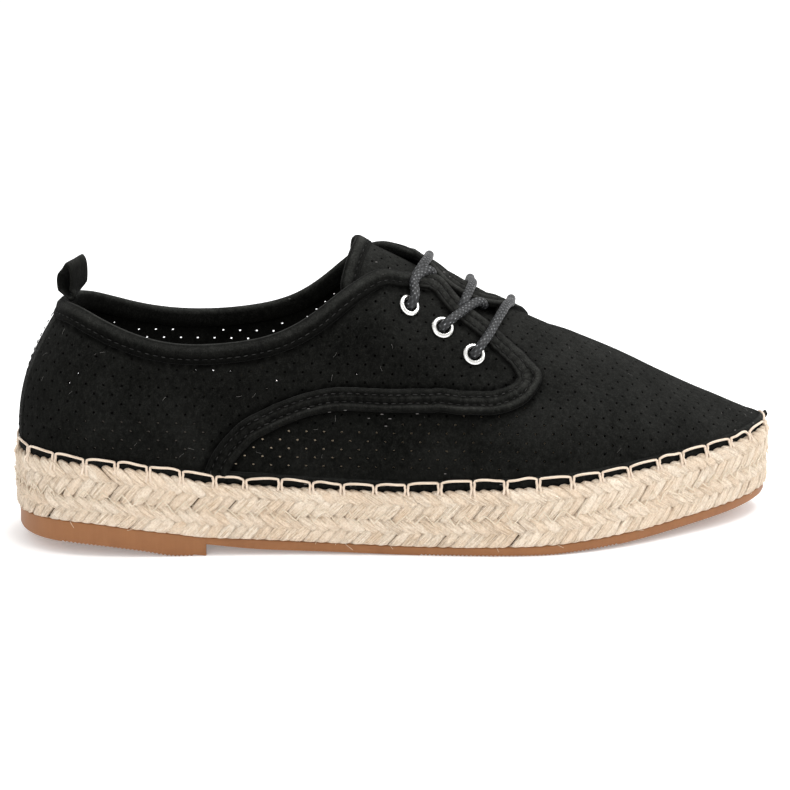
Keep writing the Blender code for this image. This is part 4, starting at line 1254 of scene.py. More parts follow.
class Pattern:
    """A panel's grid of points unwrapped to millimetres on the table."""

    def __init__(self, name, grid, anchor=(0.5, 0.3)):
        columns, rows = grid.shape[0] - 1, grid.shape[1] - 1
        obj = start_from(bpy.ops.mesh.primitive_grid_add, name, size=2.0,
                         x_subdivisions=columns, y_subdivisions=rows)
        start = take(obj)
        i = np.rint((start[:, 0] + 1.0) / 2.0 * columns).astype(int)
        j = np.rint((start[:, 1] + 1.0) / 2.0 * rows).astype(int)
        give(obj, grid[i, j])
        edit(obj, lambda: bpy.ops.mesh.remove_doubles(threshold=1e-4),
             lambda: bpy.ops.uv.unwrap(method="ANGLE_BASED", margin=0.0))
        mesh = obj.data
        uv = np.zeros(len(mesh.loops) * 2)
        mesh.uv_layers.active.data.foreach_get("uv", uv)
        flat = np.zeros((len(mesh.vertices), 2))
        flat[corners_of(mesh)] = uv.reshape(-1, 2)
        points = take(obj)
        seen = {tuple(np.round(p, 3)): n for n, p in enumerate(points)}
        index = np.zeros((columns + 1, rows + 1), int)
        for a, b in np.ndindex(index.shape):
            index[a, b] = seen.get(tuple(np.round(grid[a, b], 3)), -1)
            if index[a, b] < 0:
                index[a, b] = int(np.argmin(np.linalg.norm(points - grid[a, b], axis=1)))
        bpy.data.objects.remove(obj, do_unlink=True)
        self.flat = flat[index]
        real = np.linalg.norm(np.diff(grid, axis=0), axis=2).sum()
        self.flat *= real / np.linalg.norm(np.diff(self.flat, axis=0), axis=2).sum()
        a, b = int(anchor[0] * columns), int(anchor[1] * rows)
        along = self.flat[min(a + 2, columns), b] - self.flat[max(a - 2, 0), b]
        along /= np.linalg.norm(along)
        up = np.array((-along[1], along[0]))
        if (self.flat[a, min(b + 2, rows)] - self.flat[a, max(b - 2, 0)]) @ up < 0:
            up = -up
        self.flat = (self.flat - self.flat[a, b]) @ np.column_stack((along, up))
        self.size = (columns, rows)
        print("%s laid flat: %.0f x %.0f mm" % (name, *np.ptp(self.flat.reshape(-1, 2), axis=0)))

    def lay(self, i, j):
        return read_grid(self.flat, i, j)

    def back(self, xy):
        """Grid places of flat points, by Newton's method from the nearest grid point."""
        columns, rows = self.size
        table = self.flat.reshape(-1, 2)
        near = np.concatenate([np.argmin(np.linalg.norm(part[:, None] - table[None], axis=2), axis=1)
                               for part in np.array_split(xy, len(xy) // 500 + 1)])
        i, j = (near // (rows + 1)).astype(float), (near % (rows + 1)).astype(float)
        for _ in range(12):
            right, top = np.minimum(i + 0.05, columns), np.minimum(j + 0.05, rows)
            along = (self.lay(right, j) - self.lay(right - 0.1, j)) / 0.1
            up = (self.lay(i, top) - self.lay(i, top - 0.1)) / 0.1
            miss = xy - self.lay(i, j)
            area = turned_area(along, up)
            area = np.where(np.abs(area) < 1e-6, 1e-6, area)
            i = np.clip(i + np.clip(turned_area(miss, up) / area, -2, 2), 0, columns)
            j = np.clip(j + np.clip(turned_area(along, miss) / area, -2, 2), 0, rows)
        return i, j


def distance_to(points, line):
    """Distance of each point to an open line of points, in the plane or in space."""
    best = np.full(len(points), 1e9)
    for start, step in zip(line[:-1], np.diff(line, axis=0)):
        share = np.clip((points - start) @ step / max(step @ step, 1e-12), 0.0, 1.0)
        best = np.minimum(best, np.linalg.norm(points - start - share[:, None] * step, axis=1))
    return best


def inside(points, loop):
    """Even-odd test against a closed loop."""
    hits = np.zeros(len(points), bool)
    x, y = points.T
    for (x0, y0), (x1, y1) in zip(loop, np.roll(loop, -1, axis=0)):
        if y0 != y1:
            hits ^= ((y0 > y) != (y1 > y)) & (x < (x1 - x0) * (y - y0) / (y1 - y0) + x0)
    return hits


def even_steps(line, spacing):
    """The line's points moved along it, to equal steps of about `spacing`."""
    length = length_along(line)
    count = max(2, int(round(length[-1] / spacing)))
    return read_line(line, length, np.linspace(0.0, length[-1], count + 1))


# %% Punched sheets
HOLE_RADIUS = 0.43
HOLE_PITCH = 4.2
HOLE_SIDES = 8


def nearest(points, others):
    """Distance from each point to the nearest of the others, a part of the list at a time."""
    away = [np.linalg.norm(part[:, None] - others[None], axis=2).min(axis=1)
            for part in np.array_split(points, len(points) // 2000 + 1)]
    return np.concatenate(away)


def punched_sheet(outline, allowed, angle):
    """Triangles of a flat panel with round holes. `allowed` says which hole centres are punched."""
    outline = even_steps(np.vstack((outline, outline[:1])), 2.0)[:-1]
    low, high = outline.min(axis=0), outline.max(axis=0)
    middle, reach = (low + high) / 2.0, np.linalg.norm(high - low) / 2.0
    n = int(reach / HOLE_PITCH) + 2
    turn = np.radians(angle)
    first = np.array((np.cos(turn), np.sin(turn))) * HOLE_PITCH
    second = np.array((-np.sin(turn), np.cos(turn))) * HOLE_PITCH
    origin = np.round(np.linalg.solve(np.column_stack((first, second)), middle))
    a, b = np.meshgrid(np.arange(-n, n + 1) + origin[0], np.arange(-n, n + 1) + origin[1])
    lattice = a.reshape(-1, 1) * first + b.reshape(-1, 1) * second
    ring = np.vstack((outline, outline[:1]))
    corners = lattice + (first + second) / 2.0
    halves = np.vstack((corners, lattice + first / 2.0, lattice + second / 2.0))
    lattice = lattice[inside(lattice, outline)]
    lattice = lattice[distance_to(lattice, ring) > 1.3]
    punched = allowed(lattice)
    plain, holes = lattice[~punched], lattice[punched]
    halves = halves[inside(halves, outline)]
    halves = halves[distance_to(halves, ring) > 0.8]
    turns = np.arange(HOLE_SIDES) / HOLE_SIDES * 2 * np.pi
    circle = np.column_stack((np.cos(turns), np.sin(turns)))
    lips = (holes[:, None] + circle[None] * HOLE_RADIUS).reshape(-1, 2)
    rims = (holes[:, None] + circle[None] * (HOLE_RADIUS + 0.3)).reshape(-1, 2)
    points = np.vstack((outline, lips, rims, halves, plain))
    edges = [(k, (k + 1) % len(outline)) for k in range(len(outline))]
    for h in range(len(holes)):
        base = len(outline) + h * HOLE_SIDES
        edges += [(base + k, base + (k + 1) % HOLE_SIDES) for k in range(HOLE_SIDES)]
    result = delaunay_2d_cdt([Vector(p) for p in points], edges, [], 1, 1e-5)
    out = np.array([tuple(p) for p in result[0]])
    faces = np.array(result[2])
    centres = out[faces].mean(axis=1)
    faces = faces[(nearest(centres, holes) > HOLE_RADIUS * 0.9) & inside(centres, outline)]
    flip = np.cross(out[faces[:, 1]] - out[faces[:, 0]], out[faces[:, 2]] - out[faces[:, 0]]) < 0
    faces[flip] = faces[flip][:, ::-1]
    print("punched", len(holes), "holes,", len(faces), "triangles a side")
    return out, faces, nearest(out, holes) < HOLE_RADIUS + 0.02


def thick_sheet(name, outer, inner, faces, xy):
    """A wall between two matching layers, closed at every border; xy is its flat pattern."""
    count = len(outer)
    edges = np.vstack((faces[:, (0, 1)], faces[:, (1, 2)], faces[:, (2, 0)]))
    known = {tuple(e) for e in edges.tolist()}
    border = [(a, b) for a, b in known if (b, a) not in known]
    walls = [(b, a, a + count, b + count) for a, b in sorted(border)]
    backs = (faces[:, ::-1] + count).tolist()
    return mesh_piece(name, np.vstack((outer, inner)), faces.tolist() + backs + walls, np.vstack((xy, xy)))

# %% [markdown]
# ### Panels
#
# Two quarters meet behind the heel and lie over the vamp, which runs round the toe. Their edges are
# tables of (rib, height). The outer quarter's facing holds three eyelets; the inner quarter's facing
# leans over the ridge of the instep, as it does when the lace pulls it across.

# %% Edges of the panels
FOOT_OF_FRONT = (
    (11.74, "up 25.2"), (10.8, "up 26.0"), (9.83, "up 26.6"), (8.6, "up 26.6"), (7.54, "up 25.8"),
    (6.9, "up 23.6"), (6.30, "up 20.3"), (5.63, "up 15.2"), (5.25, "up 8.6"), (5.06, "up 3.4"), (5.0, "up 0"),
)
NEAR_FRONT = knots_of((
    (9.0, 1.0), (9.3, "down 1.2"), (9.65, "down 3.6"), (10.0, "down 7.2"), (10.4, "down 11.0"),
    (10.8, "down 13.6"), (11.2, "down 13.8"), (11.6, "down 11.6"), (11.84, "down 11.2"),
    (12.03, "down 15.2"), (12.31, "down 19.0"), (12.79, "down 21.6"), (13.08, "down 25.0"),
    (13.40, "down 28.6"), (13.62, "down 33.0"), (13.70, "up 37.5"), (13.66, "up 34.5"),
    (13.52, "up 31.0"), (13.30, "up 27.6"), (12.98, "up 25.6"), (12.60, "up 24.5"),
) + FOOT_OF_FRONT)
FAR_FRONT = knots_of((
    (9.0, 1.0), (9.8, 0.998), (10.6, 0.998), (11.02, 0.998), (11.15, "over 1.2"), (11.4, "over 4.4"),
    (11.65, "over 8.4"), (11.9, "over 12.4"), (12.1, "over 13.6"), (12.35, "over 13.8"),
    (12.60, "over 13.4"), (12.89, "over 11.2"), (13.15, "over 8.0"), (13.35, "over 4.0"),
    (13.58, "over 0.2"), (13.78, "down 5.0"), (13.94, "down 11.0"),
    (14.0, "down 18.0"), (13.98, "up 41.0"), (13.86, "up 36.5"), (13.6, "up 31.5"), (13.25, "up 28.0"),
    (12.8, "up 26.0"),
) + FOOT_OF_FRONT) * (-1.0, 1.0)
VAMP_EDGE = knots_of((
    (4.6, 0.0), (4.62, "up 10"), (4.9, "up 19"), (5.5, "up 27"), (6.3, "up 32"), (7.5, "up 35.5"),
    (9.0, "up 36"), (10.5, "up 35.5"), (11.8, "up 34.5"), (12.5, "up 35"), (12.9, "up 40"),
    (13.0, "down 24"), (13.1, "down 12"), (13.12, 1.0),
))


def smooth_line(knots, spacing=1.5, soft=1.6):
    """Even places through a table of (q, s), its corners rounded over `soft` millimetres."""
    share = np.linspace(0.0, 1.0, 12, endpoint=False)[:, None]
    dense = np.vstack([a + (b - a) * share for a, b in zip(knots, knots[1:])] + [knots[-1:]])
    points = last.points(*on_last(dense[:, 0], dense[:, 1]))
    length = length_along(points)
    count = int(round(length[-1] / spacing))
    line = read_line(dense, length, np.linspace(0.0, length[-1], count + 1))
    reach = int(np.ceil(3 * soft / spacing))
    weight = np.exp(-0.5 * (np.arange(-reach, reach + 1) * spacing / soft)**2)
    weight /= weight.sum()
    padded = np.vstack((2 * line[:1] - line[reach:0:-1], line, 2 * line[-1:] - line[-2:-reach - 2:-1]))
    return np.column_stack([np.convolve(padded[:, k], weight, mode="valid") for k in (0, 1)])


near_front, far_front = smooth_line(NEAR_FRONT), smooth_line(FAR_FRONT)
print("front edges:", len(near_front), len(far_front), "places")


# %% Panels on the last
QUARTER_HEIGHT = 0.5
SUEDE = 1.15
LIP_DIP = 0.14
FOOT_BAND = 4.4


class Panel(Pattern):
    """A pattern of part of the upper, from rib `first` on and `span` ribs wide, up to the edge `top`."""

    def __init__(self, name, side, first, span, size, top_of, anchor):
        q = side * np.linspace(first, first + span, size[0] + 1)
        self.side, self.first, self.span, self.top = side, first, span, top_of(q)
        s = self.top[:, None] * np.linspace(0.0, 1.0, size[1] + 1)[None]
        grid = lie(np.repeat(q, size[1] + 1), s.ravel())[0].reshape(size[0] + 1, size[1] + 1, 3)
        super().__init__(name, grid, anchor)

    def top_at(self, i):
        return np.interp(i, np.arange(self.size[0] + 1), self.top)

    def flat_of(self, places):
        """Flat points of places (q, s)."""
        columns, rows = self.size
        i = np.clip((places[:, 0] * self.side - self.first) / self.span * columns, 0, columns)
        return self.lay(i, np.clip(places[:, 1] / self.top_at(i) * rows, 0, rows))

    def places_of(self, xy):
        """Places q and s of flat points."""
        i, j = self.back(xy)
        return self.side * (self.first + self.span * i / self.size[0]), j / self.size[1] * self.top_at(i)


def level(start, end, count, s):
    """Places at one height from rib to rib."""
    return np.column_stack((np.linspace(start, end, count), np.full(count, s)))


def lift_of(q, s):
    """Millimetres up from the feather line."""
    q, v = on_last(q, s)
    return np.array([np.interp(a, LAYER_V, row) for a, row in zip(v, rows_at(q))])


# %% Quarters
QUARTER_SPAN = 14.6
COLLAR_END = 9.0
HOLES_FROM_EDGE = 7.6
HOLES_FROM_SEAM = 3.5


def quarter(name, side, front, over, angle):
    """One quarter: collar, facing, front edge and foot line as one closed outline, punched inside."""
    panel = Panel(name, side, 0.0, QUARTER_SPAN, (60, 26),
                  lambda q: 1.0 + over * soft_step(np.abs(q) - INSTEP_RIB), anchor=(0.35, 0.3))
    back = np.column_stack((np.zeros(12), np.linspace(0.0, 1.0, 12)))
    collar = level(0.0, side * COLLAR_END, 60, 1.0)
    foot = level(side * 5.0, 0.0, 40, 0.0)
    outline = panel.flat_of(np.vstack((back, collar, front[1:-1], foot[:-1])))
    bound = panel.flat_of(np.vstack((collar, front)))
    sewn = panel.flat_of(back)

    def allowed(centres):
        up = lift_of(*panel.places_of(centres))
        free = (distance_to(centres, bound) > HOLES_FROM_EDGE) & (distance_to(centres, sewn) > HOLES_FROM_SEAM)
        return free & (up > FOOT_BAND + 0.8)

    xy, faces, lip = punched_sheet(outline, allowed, angle)
    place = panel.places_of(xy)
    outer = lie(*place, QUARTER_HEIGHT - LIP_DIP * lip)[0]
    inner = lie(*place, QUARTER_HEIGHT - SUEDE)[0]
    return thick_sheet(name, outer, inner, faces if side > 0 else faces[:, ::-1], xy)


quarters = [quarter("quarter_outer", 1, near_front, 0.0, 45.0),
            quarter("quarter_inner", -1, far_front, 0.42, 45.0)]

# %% Vamp
VAMP_START = 4.5
VAMP_TOP = ((4.5, 9.0, 12.0, 13.1, 21.0), (0.66, 0.62, 0.75, 1.0, 1.0))
VAMP_TUCK = -0.8
VAMP_RISE = 1.2
VAMP_RISE_LENGTH = 16.0


def vamp_piece():
    """The vamp: tucked under both quarters, and level with them further forward."""
    panel = Panel("vamp", 1, VAMP_START, ROUND - 2 * VAMP_START, (88, 24),
                  lambda q: even_curve(*VAMP_TOP, np.minimum(q, ROUND - q)), anchor=(0.11, 0.3))
    edge = smooth_line(VAMP_EDGE)
    other = edge[::-1] * (-1.0, 1.0) + (ROUND, 0.0)
    foot = level(ROUND - 4.6, 4.6, 300, 0.0)
    outline = panel.flat_of(np.vstack((edge, other[1:], foot[1:-1])))
    xy, faces, lip = punched_sheet(outline, lambda c: lift_of(*panel.places_of(c)) > FOOT_BAND + 0.4, 40.0)
    q, s = panel.places_of(xy)
    ground = lie(q, s)[0]
    height = np.full(len(xy), VAMP_TUCK)
    for front, side in ((near_front, 1), (far_front, -1)):
        mine = (q < TOE) if side > 0 else (q > TOE)
        line = lie(front[:, 0], front[:, 1])[0]
        loop = np.vstack((np.abs(front), ((0.0, 0.0), (0.0, 2.0), (COLLAR_END, 2.0))))
        covered = inside(np.column_stack((np.minimum(q, ROUND - q), s)), loop)
        away = np.where(covered, 0.0, distance_to(ground, line))
        height = np.where(mine, VAMP_TUCK + VAMP_RISE * soft_step(away / VAMP_RISE_LENGTH), height)
    outer = lie(q, s, height - LIP_DIP * lip)[0]
    inner = lie(q, s, height - SUEDE)[0]
    return thick_sheet("vamp", outer, inner, faces, xy)


vamp = vamp_piece()

# %% Suede finish
def suede_material(name, cloud_scale, pile, grain, bright, hollow_shade, lint, relief, top_light_from, **values):
    """Black suede: mottled pile, paler where it faces up as a painted highlight, darker in its hollows as
    painted shade.
    """
    made, w, shader = new_material(name)
    fuzz = w.group(nap, vector=w.coords())
    cloud = w.cloudy(cloud_scale)
    tone = w.mix(cloud, *pile)
    tone = w.mix(w.spread(fuzz["Grain"], 0.0, 0.8, 0.0, 0.9), tone, grain)
    # Painted highlight: the colour is lightened towards the bright colour where the surface faces up, unevenly
    # over clouds and grain.
    brushed = top_light_from(w)
    grainy = w.spread(fuzz["Grain"], 0.0, 0.8, 0.45, 1.5)
    uneven_highlight = w.math("MULTIPLY", w.spread(cloud, 0.0, 1.0, 0.6, 1.2), grainy)
    tone = w.mix(w.math("MULTIPLY", brushed, uneven_highlight, clamp=True), tone, bright)
    # Painted shade: darker where the piece's channel value is high, in the hollows of a tape and beside raised
    # edges.
    tone = w.mix(w.spread(w.value_of("channel"), *hollow_shade[0]), tone, hollow_shade[1])
    tone = w.mix(fuzz["Lint"], tone, lint)
    w.finish(shader, base_color=tone, specular_ior_level=0.02, sheen_roughness=0.35,
             normal=w.bump(fuzz["Height"], relief, 0.0006), **values)
    return made


def top_light_and_patches(w):
    """Painted highlight: paler where the panel faces up, plus wide soft patches of random tone."""
    patches = w.spread(w.cloudy(22.0), 0.25, 0.9, -0.10, 0.20)
    return w.math("ADD", w.spread(w.value_of("upward"), 0.22, 0.95, 0.0, 1.0), patches)


# Tone cloud size, pile colours, grain colour, painted highlight colour, painted shade (range and colour), lint
# colour, relief, and the painted highlight for the panels.
suede = suede_material("black_suede", 60.0, ((0.0016, 0.0017, 0.0015), (0.0042, 0.0043, 0.0038)),
                       (0.014, 0.0142, 0.0128), (0.030, 0.0303, 0.0282),
                       ((0.15, 0.9, 0.0, 0.9), (0.0008, 0.0008, 0.0007)), (0.16, 0.15, 0.145), 0.55,
                       top_light_and_patches, roughness=0.92, sheen_weight=0.014, sheen_tint=(0.8, 0.78, 0.76, 1.0))
for panel in quarters + [vamp]:
    note_upward(panel, even=True)
    finish_piece(panel, suede, "upper", slot="black_suede", smooth=50.0)

# %% [markdown]
# ### Bindings and seams
#
# Raw edges of suede are covered with one turned tape. It starts at the foot, follows the curved front
# edge, climbs the facing, runs round the collar and comes back down the other side. Its section is a
# short row of points that is swept along the edge: soft and round at the collar, flatter with a
# stitched channel on the facings. Stitches are one small bead, copied along the channel.


# %% Sweeping a section along an edge
WALK_LIMIT = 2.6


def bridged(lines, sound):
    """The lines, drawn straight across the places that are not sound."""
    # Material, shading, body and the CAD nodes that the piece stands for; the slot argument is not used.
    index = np.arange(len(lines))
    return np.column_stack([np.interp(index, index[sound], lines[sound, k]) for k in range(lines.shape[1])])


def shifted(lay, places, heading, reach, steps=3):
    """Places `reach` millimetres along unit vectors `heading`, walked over a surface."""
    a, b = np.array(places, float).T
    for _ in range(steps):
        back = np.maximum(b, 0.02)
        da = (lay(a + 0.03, b)[0] - lay(a - 0.03, b)[0]) / 0.06
        db = (lay(a, back)[0] - lay(a, back - 0.02)[0]) / 0.02
        aa, ab, bb = (da * da).sum(1), (da * db).sum(1), (db * db).sum(1)
        ra, rb = (da * heading).sum(1), (db * heading).sum(1)
        area = np.maximum(aa * bb - ab * ab, 1e-9)
        a = a + (bb * ra - ab * rb) / area * reach / steps
        b = b + (aa * rb - ab * ra) / area * reach / steps
    return a, b


def offset_line(lay, places, across, height):
    """A line beside an edge: `across` millimetres into the panel and `height` above it."""
    a, b = places.T
    ground, normal = lay(a, b, 0.0)
    along = unit(np.gradient(ground, axis=0))
    heading = np.cross(normal, along)
    across = np.broadcast_to(np.asarray(across, float), (len(places),))
    height = np.broadcast_to(np.asarray(height, float), (len(places),))
    a, b = shifted(lay, places, heading, np.maximum(across, 0.0))
    flat = ground + heading * np.maximum(across, 0.0)[:, None] + normal * height[:, None]
    points, normal = lay(a, b, height)
    bend = bridged(points - flat, np.linalg.norm(points - flat, axis=1) < WALK_LIMIT)
    points = flat + bend + heading * np.minimum(across, 0.0)[:, None]
    ahead = np.sum(np.gradient(points, axis=0) * along, axis=1)
    folded = np.convolve(ahead < 0.3 * np.median(ahead), np.ones(5), mode="same") > 0
    return bridged(points, ~folded), normal


def sweep(name, lay, places, sections, closed=False):
    """A strip whose section, (across, height) at every place, is closed on itself."""
    lines = [offset_line(lay, places, across, height)[0] for across, height in sections.transpose(1, 2, 0)]
    grid = np.stack(lines, axis=1)
    count, width = grid.shape[:2]
    length = length_along(grid[:, width // 2])
    uv = np.column_stack((np.repeat(length, width), np.tile(np.arange(width), count)))
    # Painted shade: section points that lie low between raised ridges, such as the stitched channel, are kept
    # as channel for the finish to darken.
    hollow_shade = 1.0 - sections[:, :, 1] / sections[:, :, 1].max(axis=1)[:, None]
    hollow_shade = np.where(sections[:, :, 1] < 0.5, 0.0, np.clip(hollow_shade * 3.0, 0.0, 1.0))
    faces = ring_faces(count, width, closed)
    return face_outwards(mesh_piece(name, grid.reshape(-1, 3), faces, uv, channel=hollow_shade.ravel()))


def same_all_along(section, places):
    return np.repeat(section[None], len(places), axis=0)


# %% Edge binding
STITCH_PITCH = 2.7
COLLAR_SECTION = np.array((
    (6.3, 0.35), (6.15, 0.95), (5.6, 1.30), (5.0, 1.28), (4.3, 1.12), (3.5, 1.50), (2.2, 1.95),
    (0.9, 1.62), (0.0, 1.05), (-0.45, 0.2), (-0.4, -0.7), (0.2, -1.5), (1.4, -1.95), (3.5, -1.95),
    (5.6, -1.80), (6.0, -1.30), (6.0, -0.6),
))
BAND_SECTION = np.array((
    (7.2, 0.35), (7.05, 1.05), (6.2, 1.45), (5.3, 1.12), (4.3, 1.50), (3.2, 1.45), (2.4, 1.02),
    (1.5, 1.65), (0.4, 1.70), (-0.60, 1.15), (-0.75, 0.25), (0.3, -0.35), (1.2, -0.9), (3.0, -1.05),
    (5.0, -1.00), (6.5, -0.95), (6.6, -0.6),
))
COLLAR_KNOTS = np.column_stack((np.linspace(8.6, -8.6, 60), np.ones(60)))
edge_line = smooth_line(np.vstack((NEAR_FRONT[::-1], COLLAR_KNOTS, FAR_FRONT)), spacing=1.2, soft=1.8)
edge_points = lie(edge_line[:, 0], edge_line[:, 1])[0]
edge_length = length_along(edge_points)
band_share = soft_step((np.abs(edge_line[:, 0]) - 10.6) / 1.0)
band_share = np.maximum(band_share, (edge_line[:, 1] < 0.8) * 1.0)
to_band = band_share[:, None, None]
edge_sections = COLLAR_SECTION[None] * (1 - to_band) + BAND_SECTION[None] * to_band
pucker = 0.10 * np.sin(edge_length * 2 * math.pi / STITCH_PITCH)
pucker += 0.05 * np.sin(edge_length * 2 * math.pi / 7.1 + 1.0)
edge_sections[:, 3:6, 1] += (pucker * (0.5 + band_share))[:, None]
binding = sweep("edge_binding", lie, edge_line, edge_sections)
print("edge binding: %.0f mm" % edge_length[-1])

# %% Foot strip and backstay
FOOT_SECTION = np.array(((2.7, 0.15), (2.6, 0.5), (2.2, 0.82), (1.6, 0.96), (0.8, 0.98), (-0.4, 0.9),
                         (-1.6, 0.6), (-1.6, -0.6), (1.6, -0.7), (2.6, -0.6)))
FOOT_LINE_S = 0.001
foot_q = np.arange(0.0, ROUND, 0.09)
foot_line = np.column_stack((foot_q, np.full(len(foot_q), FOOT_LINE_S)))
foot_strip = sweep("foot_strip", lie, foot_line, same_all_along(FOOT_SECTION, foot_line), closed=True)
STAY_SECTION = np.array(((4.3, 0.05), (4.15, 0.55), (3.7, 0.8), (0.0, 0.9), (-3.7, 0.8), (-4.15, 0.55),
                         (-4.3, 0.05), (-3.6, -0.4), (3.6, -0.4)))


STAY_SCALE = 8.6


def stay_strip():
    """The strip over the back seam, a little wider towards its foot."""
    down = np.linspace(0.06, 0.995, 60)
    rows = [lie(across / STAY_SCALE * (0.72 + 0.28 * down), 1.0 - down, height)[0]
            for across, height in STAY_SECTION]
    grid = np.stack(rows, axis=1)
    return face_outwards(mesh_piece("backstay", grid.reshape(-1, 3), ring_faces(*grid.shape[:2])))


backstay = stay_strip()


# %% Seam shadows
def note_channel(obj, line, reach):
    """Darken the suede close to a line, where a raised edge lies on it and keeps the light out."""
    points = take(obj) * (1.0 / MM) - (0.0, MIDDLE_Y, 0.0)
    near = np.full(len(points), 99.0)
    for spot_on_line in line:
        near = np.minimum(near, np.sum((points - spot_on_line)**2, axis=1))
    note(obj, "channel", np.exp(-near / reach**2))
    print(obj.name, "is darker along", len(line), "places")


note_channel(vamp, edge_points[band_share > 0.5], 2.6)
for panel, part in zip(quarters, (edge_line[:, 0] > 0.0, edge_line[:, 0] <= 0.0)):
    note_channel(panel, offset_line(lie, edge_line[part], 6.5 + 0.9 * band_share[part], 0.6)[0], 1.4)

# %% Stitches
def model_bead():
    """One stitch: a ball drawn out and pinched, lying along X."""
    obj = start_from(bpy.ops.mesh.primitive_uv_sphere_add, "stitch_bead", segments=6, ring_count=5,
                     radius=0.5, rotation=(0.0, math.pi / 2, 0.0))
    bpy.ops.object.transform_apply(location=False, rotation=True, scale=False)
    edit(obj, lambda: bpy.ops.transform.resize(value=(1.75, 0.42, 0.45)))
    return lift_off(obj)


bead_points, bead_faces = model_bead()


def stitch_row(line, normals):
    """Copies of the bead along a line."""
    length = length_along(line)
    where = np.arange(STITCH_PITCH / 2, length[-1], STITCH_PITCH)
    centre, up = read_line(line, length, where), read_line(normals, length, where)
    ahead = unit(read_line(line, length, where + 0.4) - read_line(line, length, where - 0.4))
    side = unit(np.cross(up, ahead))
    ahead = ahead + side * (0.06 * dice.normal(size=len(where)))[:, None]
    parts = []
    for c, x, y, z in zip(centre, ahead, side, up):
        local = bead_points * (dice.uniform(0.75, 1.1), dice.uniform(0.6, 1.0), dice.uniform(0.6, 1.0))
        points = c + local[:, :1] * x + local[:, 1:2] * y + local[:, 2:] * z
        parts.append((points, bead_faces, np.zeros((len(points), 2))))
    return joined(parts)


# Rows of stitches beside the edge as (across, height): two on each facing, one round the collar.
FACING_ROWS = ((2.45, 1.28), (5.25, 1.35))
COLLAR_ROWS = ((4.5, 1.38),)
rows = []
for part, beside in (((edge_line[:, 0] > 0) & (band_share > 0.5), FACING_ROWS),
                     ((edge_line[:, 0] < 0) & (band_share > 0.5), FACING_ROWS),
                     (band_share <= 0.5, COLLAR_ROWS)):
    for across, height in beside:
        line, normal = offset_line(lie, edge_line[part], across, height)
        rows.append(stitch_row(line, normal))
for sign in (-1.0, 1.0):
    down = np.linspace(0.08, 0.93, 60)
    line, normal = lie(np.full(60, sign * 3.0 / STAY_SCALE) * (0.72 + 0.28 * down), 1.0 - down, 1.3)
    rows.append(stitch_row(line, normal))
seam_stitches = mesh_piece("seam_stitches", *joined(rows))

# %% Tape and thread finishes
# The tape's painted highlight follows only how far it faces up; its painted shade lies in the stitched channel
# and hollows.
tape = suede_material("black_tape", 110.0, ((0.0020, 0.0021, 0.0019), (0.0052, 0.0053, 0.0047)),
                      (0.018, 0.0182, 0.0165), (0.044, 0.0445, 0.041),
                      ((0.1, 1.0, 0.0, 0.75), (0.0011, 0.0011, 0.0010)), (0.12, 0.115, 0.11), 0.6,
                      lambda w: w.spread(w.value_of("upward"), 0.1, 0.9, 0.0, 1.0),
                      roughness=0.9, sheen_weight=0.03)
thread, w, shader = new_material("seam_thread")
cloud = w.cloudy(500.0)
w.finish(shader, base_color=w.mix(cloud, (0.005, 0.005, 0.0048), (0.030, 0.0295, 0.028)), roughness=0.7,
         specular_ior_level=0.12, normal=w.bump(w.noise(w.coords(), 4000.0, 2.0), 0.4, 0.0002))
for piece in (binding, foot_strip, backstay):
    note_upward(piece)
    finish_piece(piece, tape, "upper", slot="black_suede", smooth=60.0)
finish_piece(seam_stitches, thread, slot="black_suede", smooth=180.0)

# %% [markdown]
# ## Tongue
#
# A separate punched sheet under the facings. It is sewn in below the vamp and stands free above the
# collar, where a narrow tape binds its end. The sheet follows the same hoops as the last and then
# carries straight on.

# %% Tongue surface
TONGUE_HALF = 27.0
TONGUE_MIDDLE = 6.0
TONGUE_END = 13.9
TONGUE_RISE = 27.0
TONGUE_SINK = 2.8
TONGUE_THICK = 1.5
TONGUE_COLUMNS, TONGUE_UNDER, TONGUE_FREE = 36, 26, 20


def tongue_grid():
    """Points of the tongue: hoops under the facings, then straight on above the collar."""
    across = np.linspace(-TONGUE_HALF, TONGUE_HALF, TONGUE_COLUMNS + 1) - TONGUE_MIDDLE
    rows = []
    for t in np.linspace(TONGUE_END, INSTEP_RIB + 0.6, TONGUE_UNDER):
        narrow = 0.86 + 0.14 * (TONGUE_END - t) / (TONGUE_END - INSTEP_RIB)
        q = np.where(across < 0, t, -t)
        v = v_at(q, rows_at(q)[:, -1] - np.abs(across * narrow))
        rows.append((last.points(q, v) - last.normals(q, v) * TONGUE_SINK, last.normals(q, v)))
    points, normals = rows[-1]
    middle = points[TONGUE_COLUMNS // 2].copy()
    heading = rows[-1][0].mean(axis=0) - rows[-5][0].mean(axis=0)
    heading /= np.linalg.norm(heading)
    side = (points[:, 1] - middle[1]) / np.abs(points[:, 1] - middle[1]).max()
    for k in range(1, TONGUE_FREE + 1):
        s = k / TONGUE_FREE
        moved = points + heading * TONGUE_RISE * s
        moved[:, 1] = middle[1] + (moved[:, 1] - middle[1]) * (1.0 - 0.12 * s)
        moved[:, 0] -= 11.0 * s * np.clip(-side, 0.0, 1.0)**1.3 - 1.0 * s * np.clip(side, 0.0, 1.0)
        moved[:, 2] -= 4.5 * s * side**2
        rows.append((moved, normals))
    grid = np.array([row[0] for row in rows]).transpose(1, 0, 2)
    for _ in range(3):
        grid[:, 1:-1] = (grid[:, :-2] + 2 * grid[:, 1:-1] + grid[:, 2:]) / 4.0
    return grid


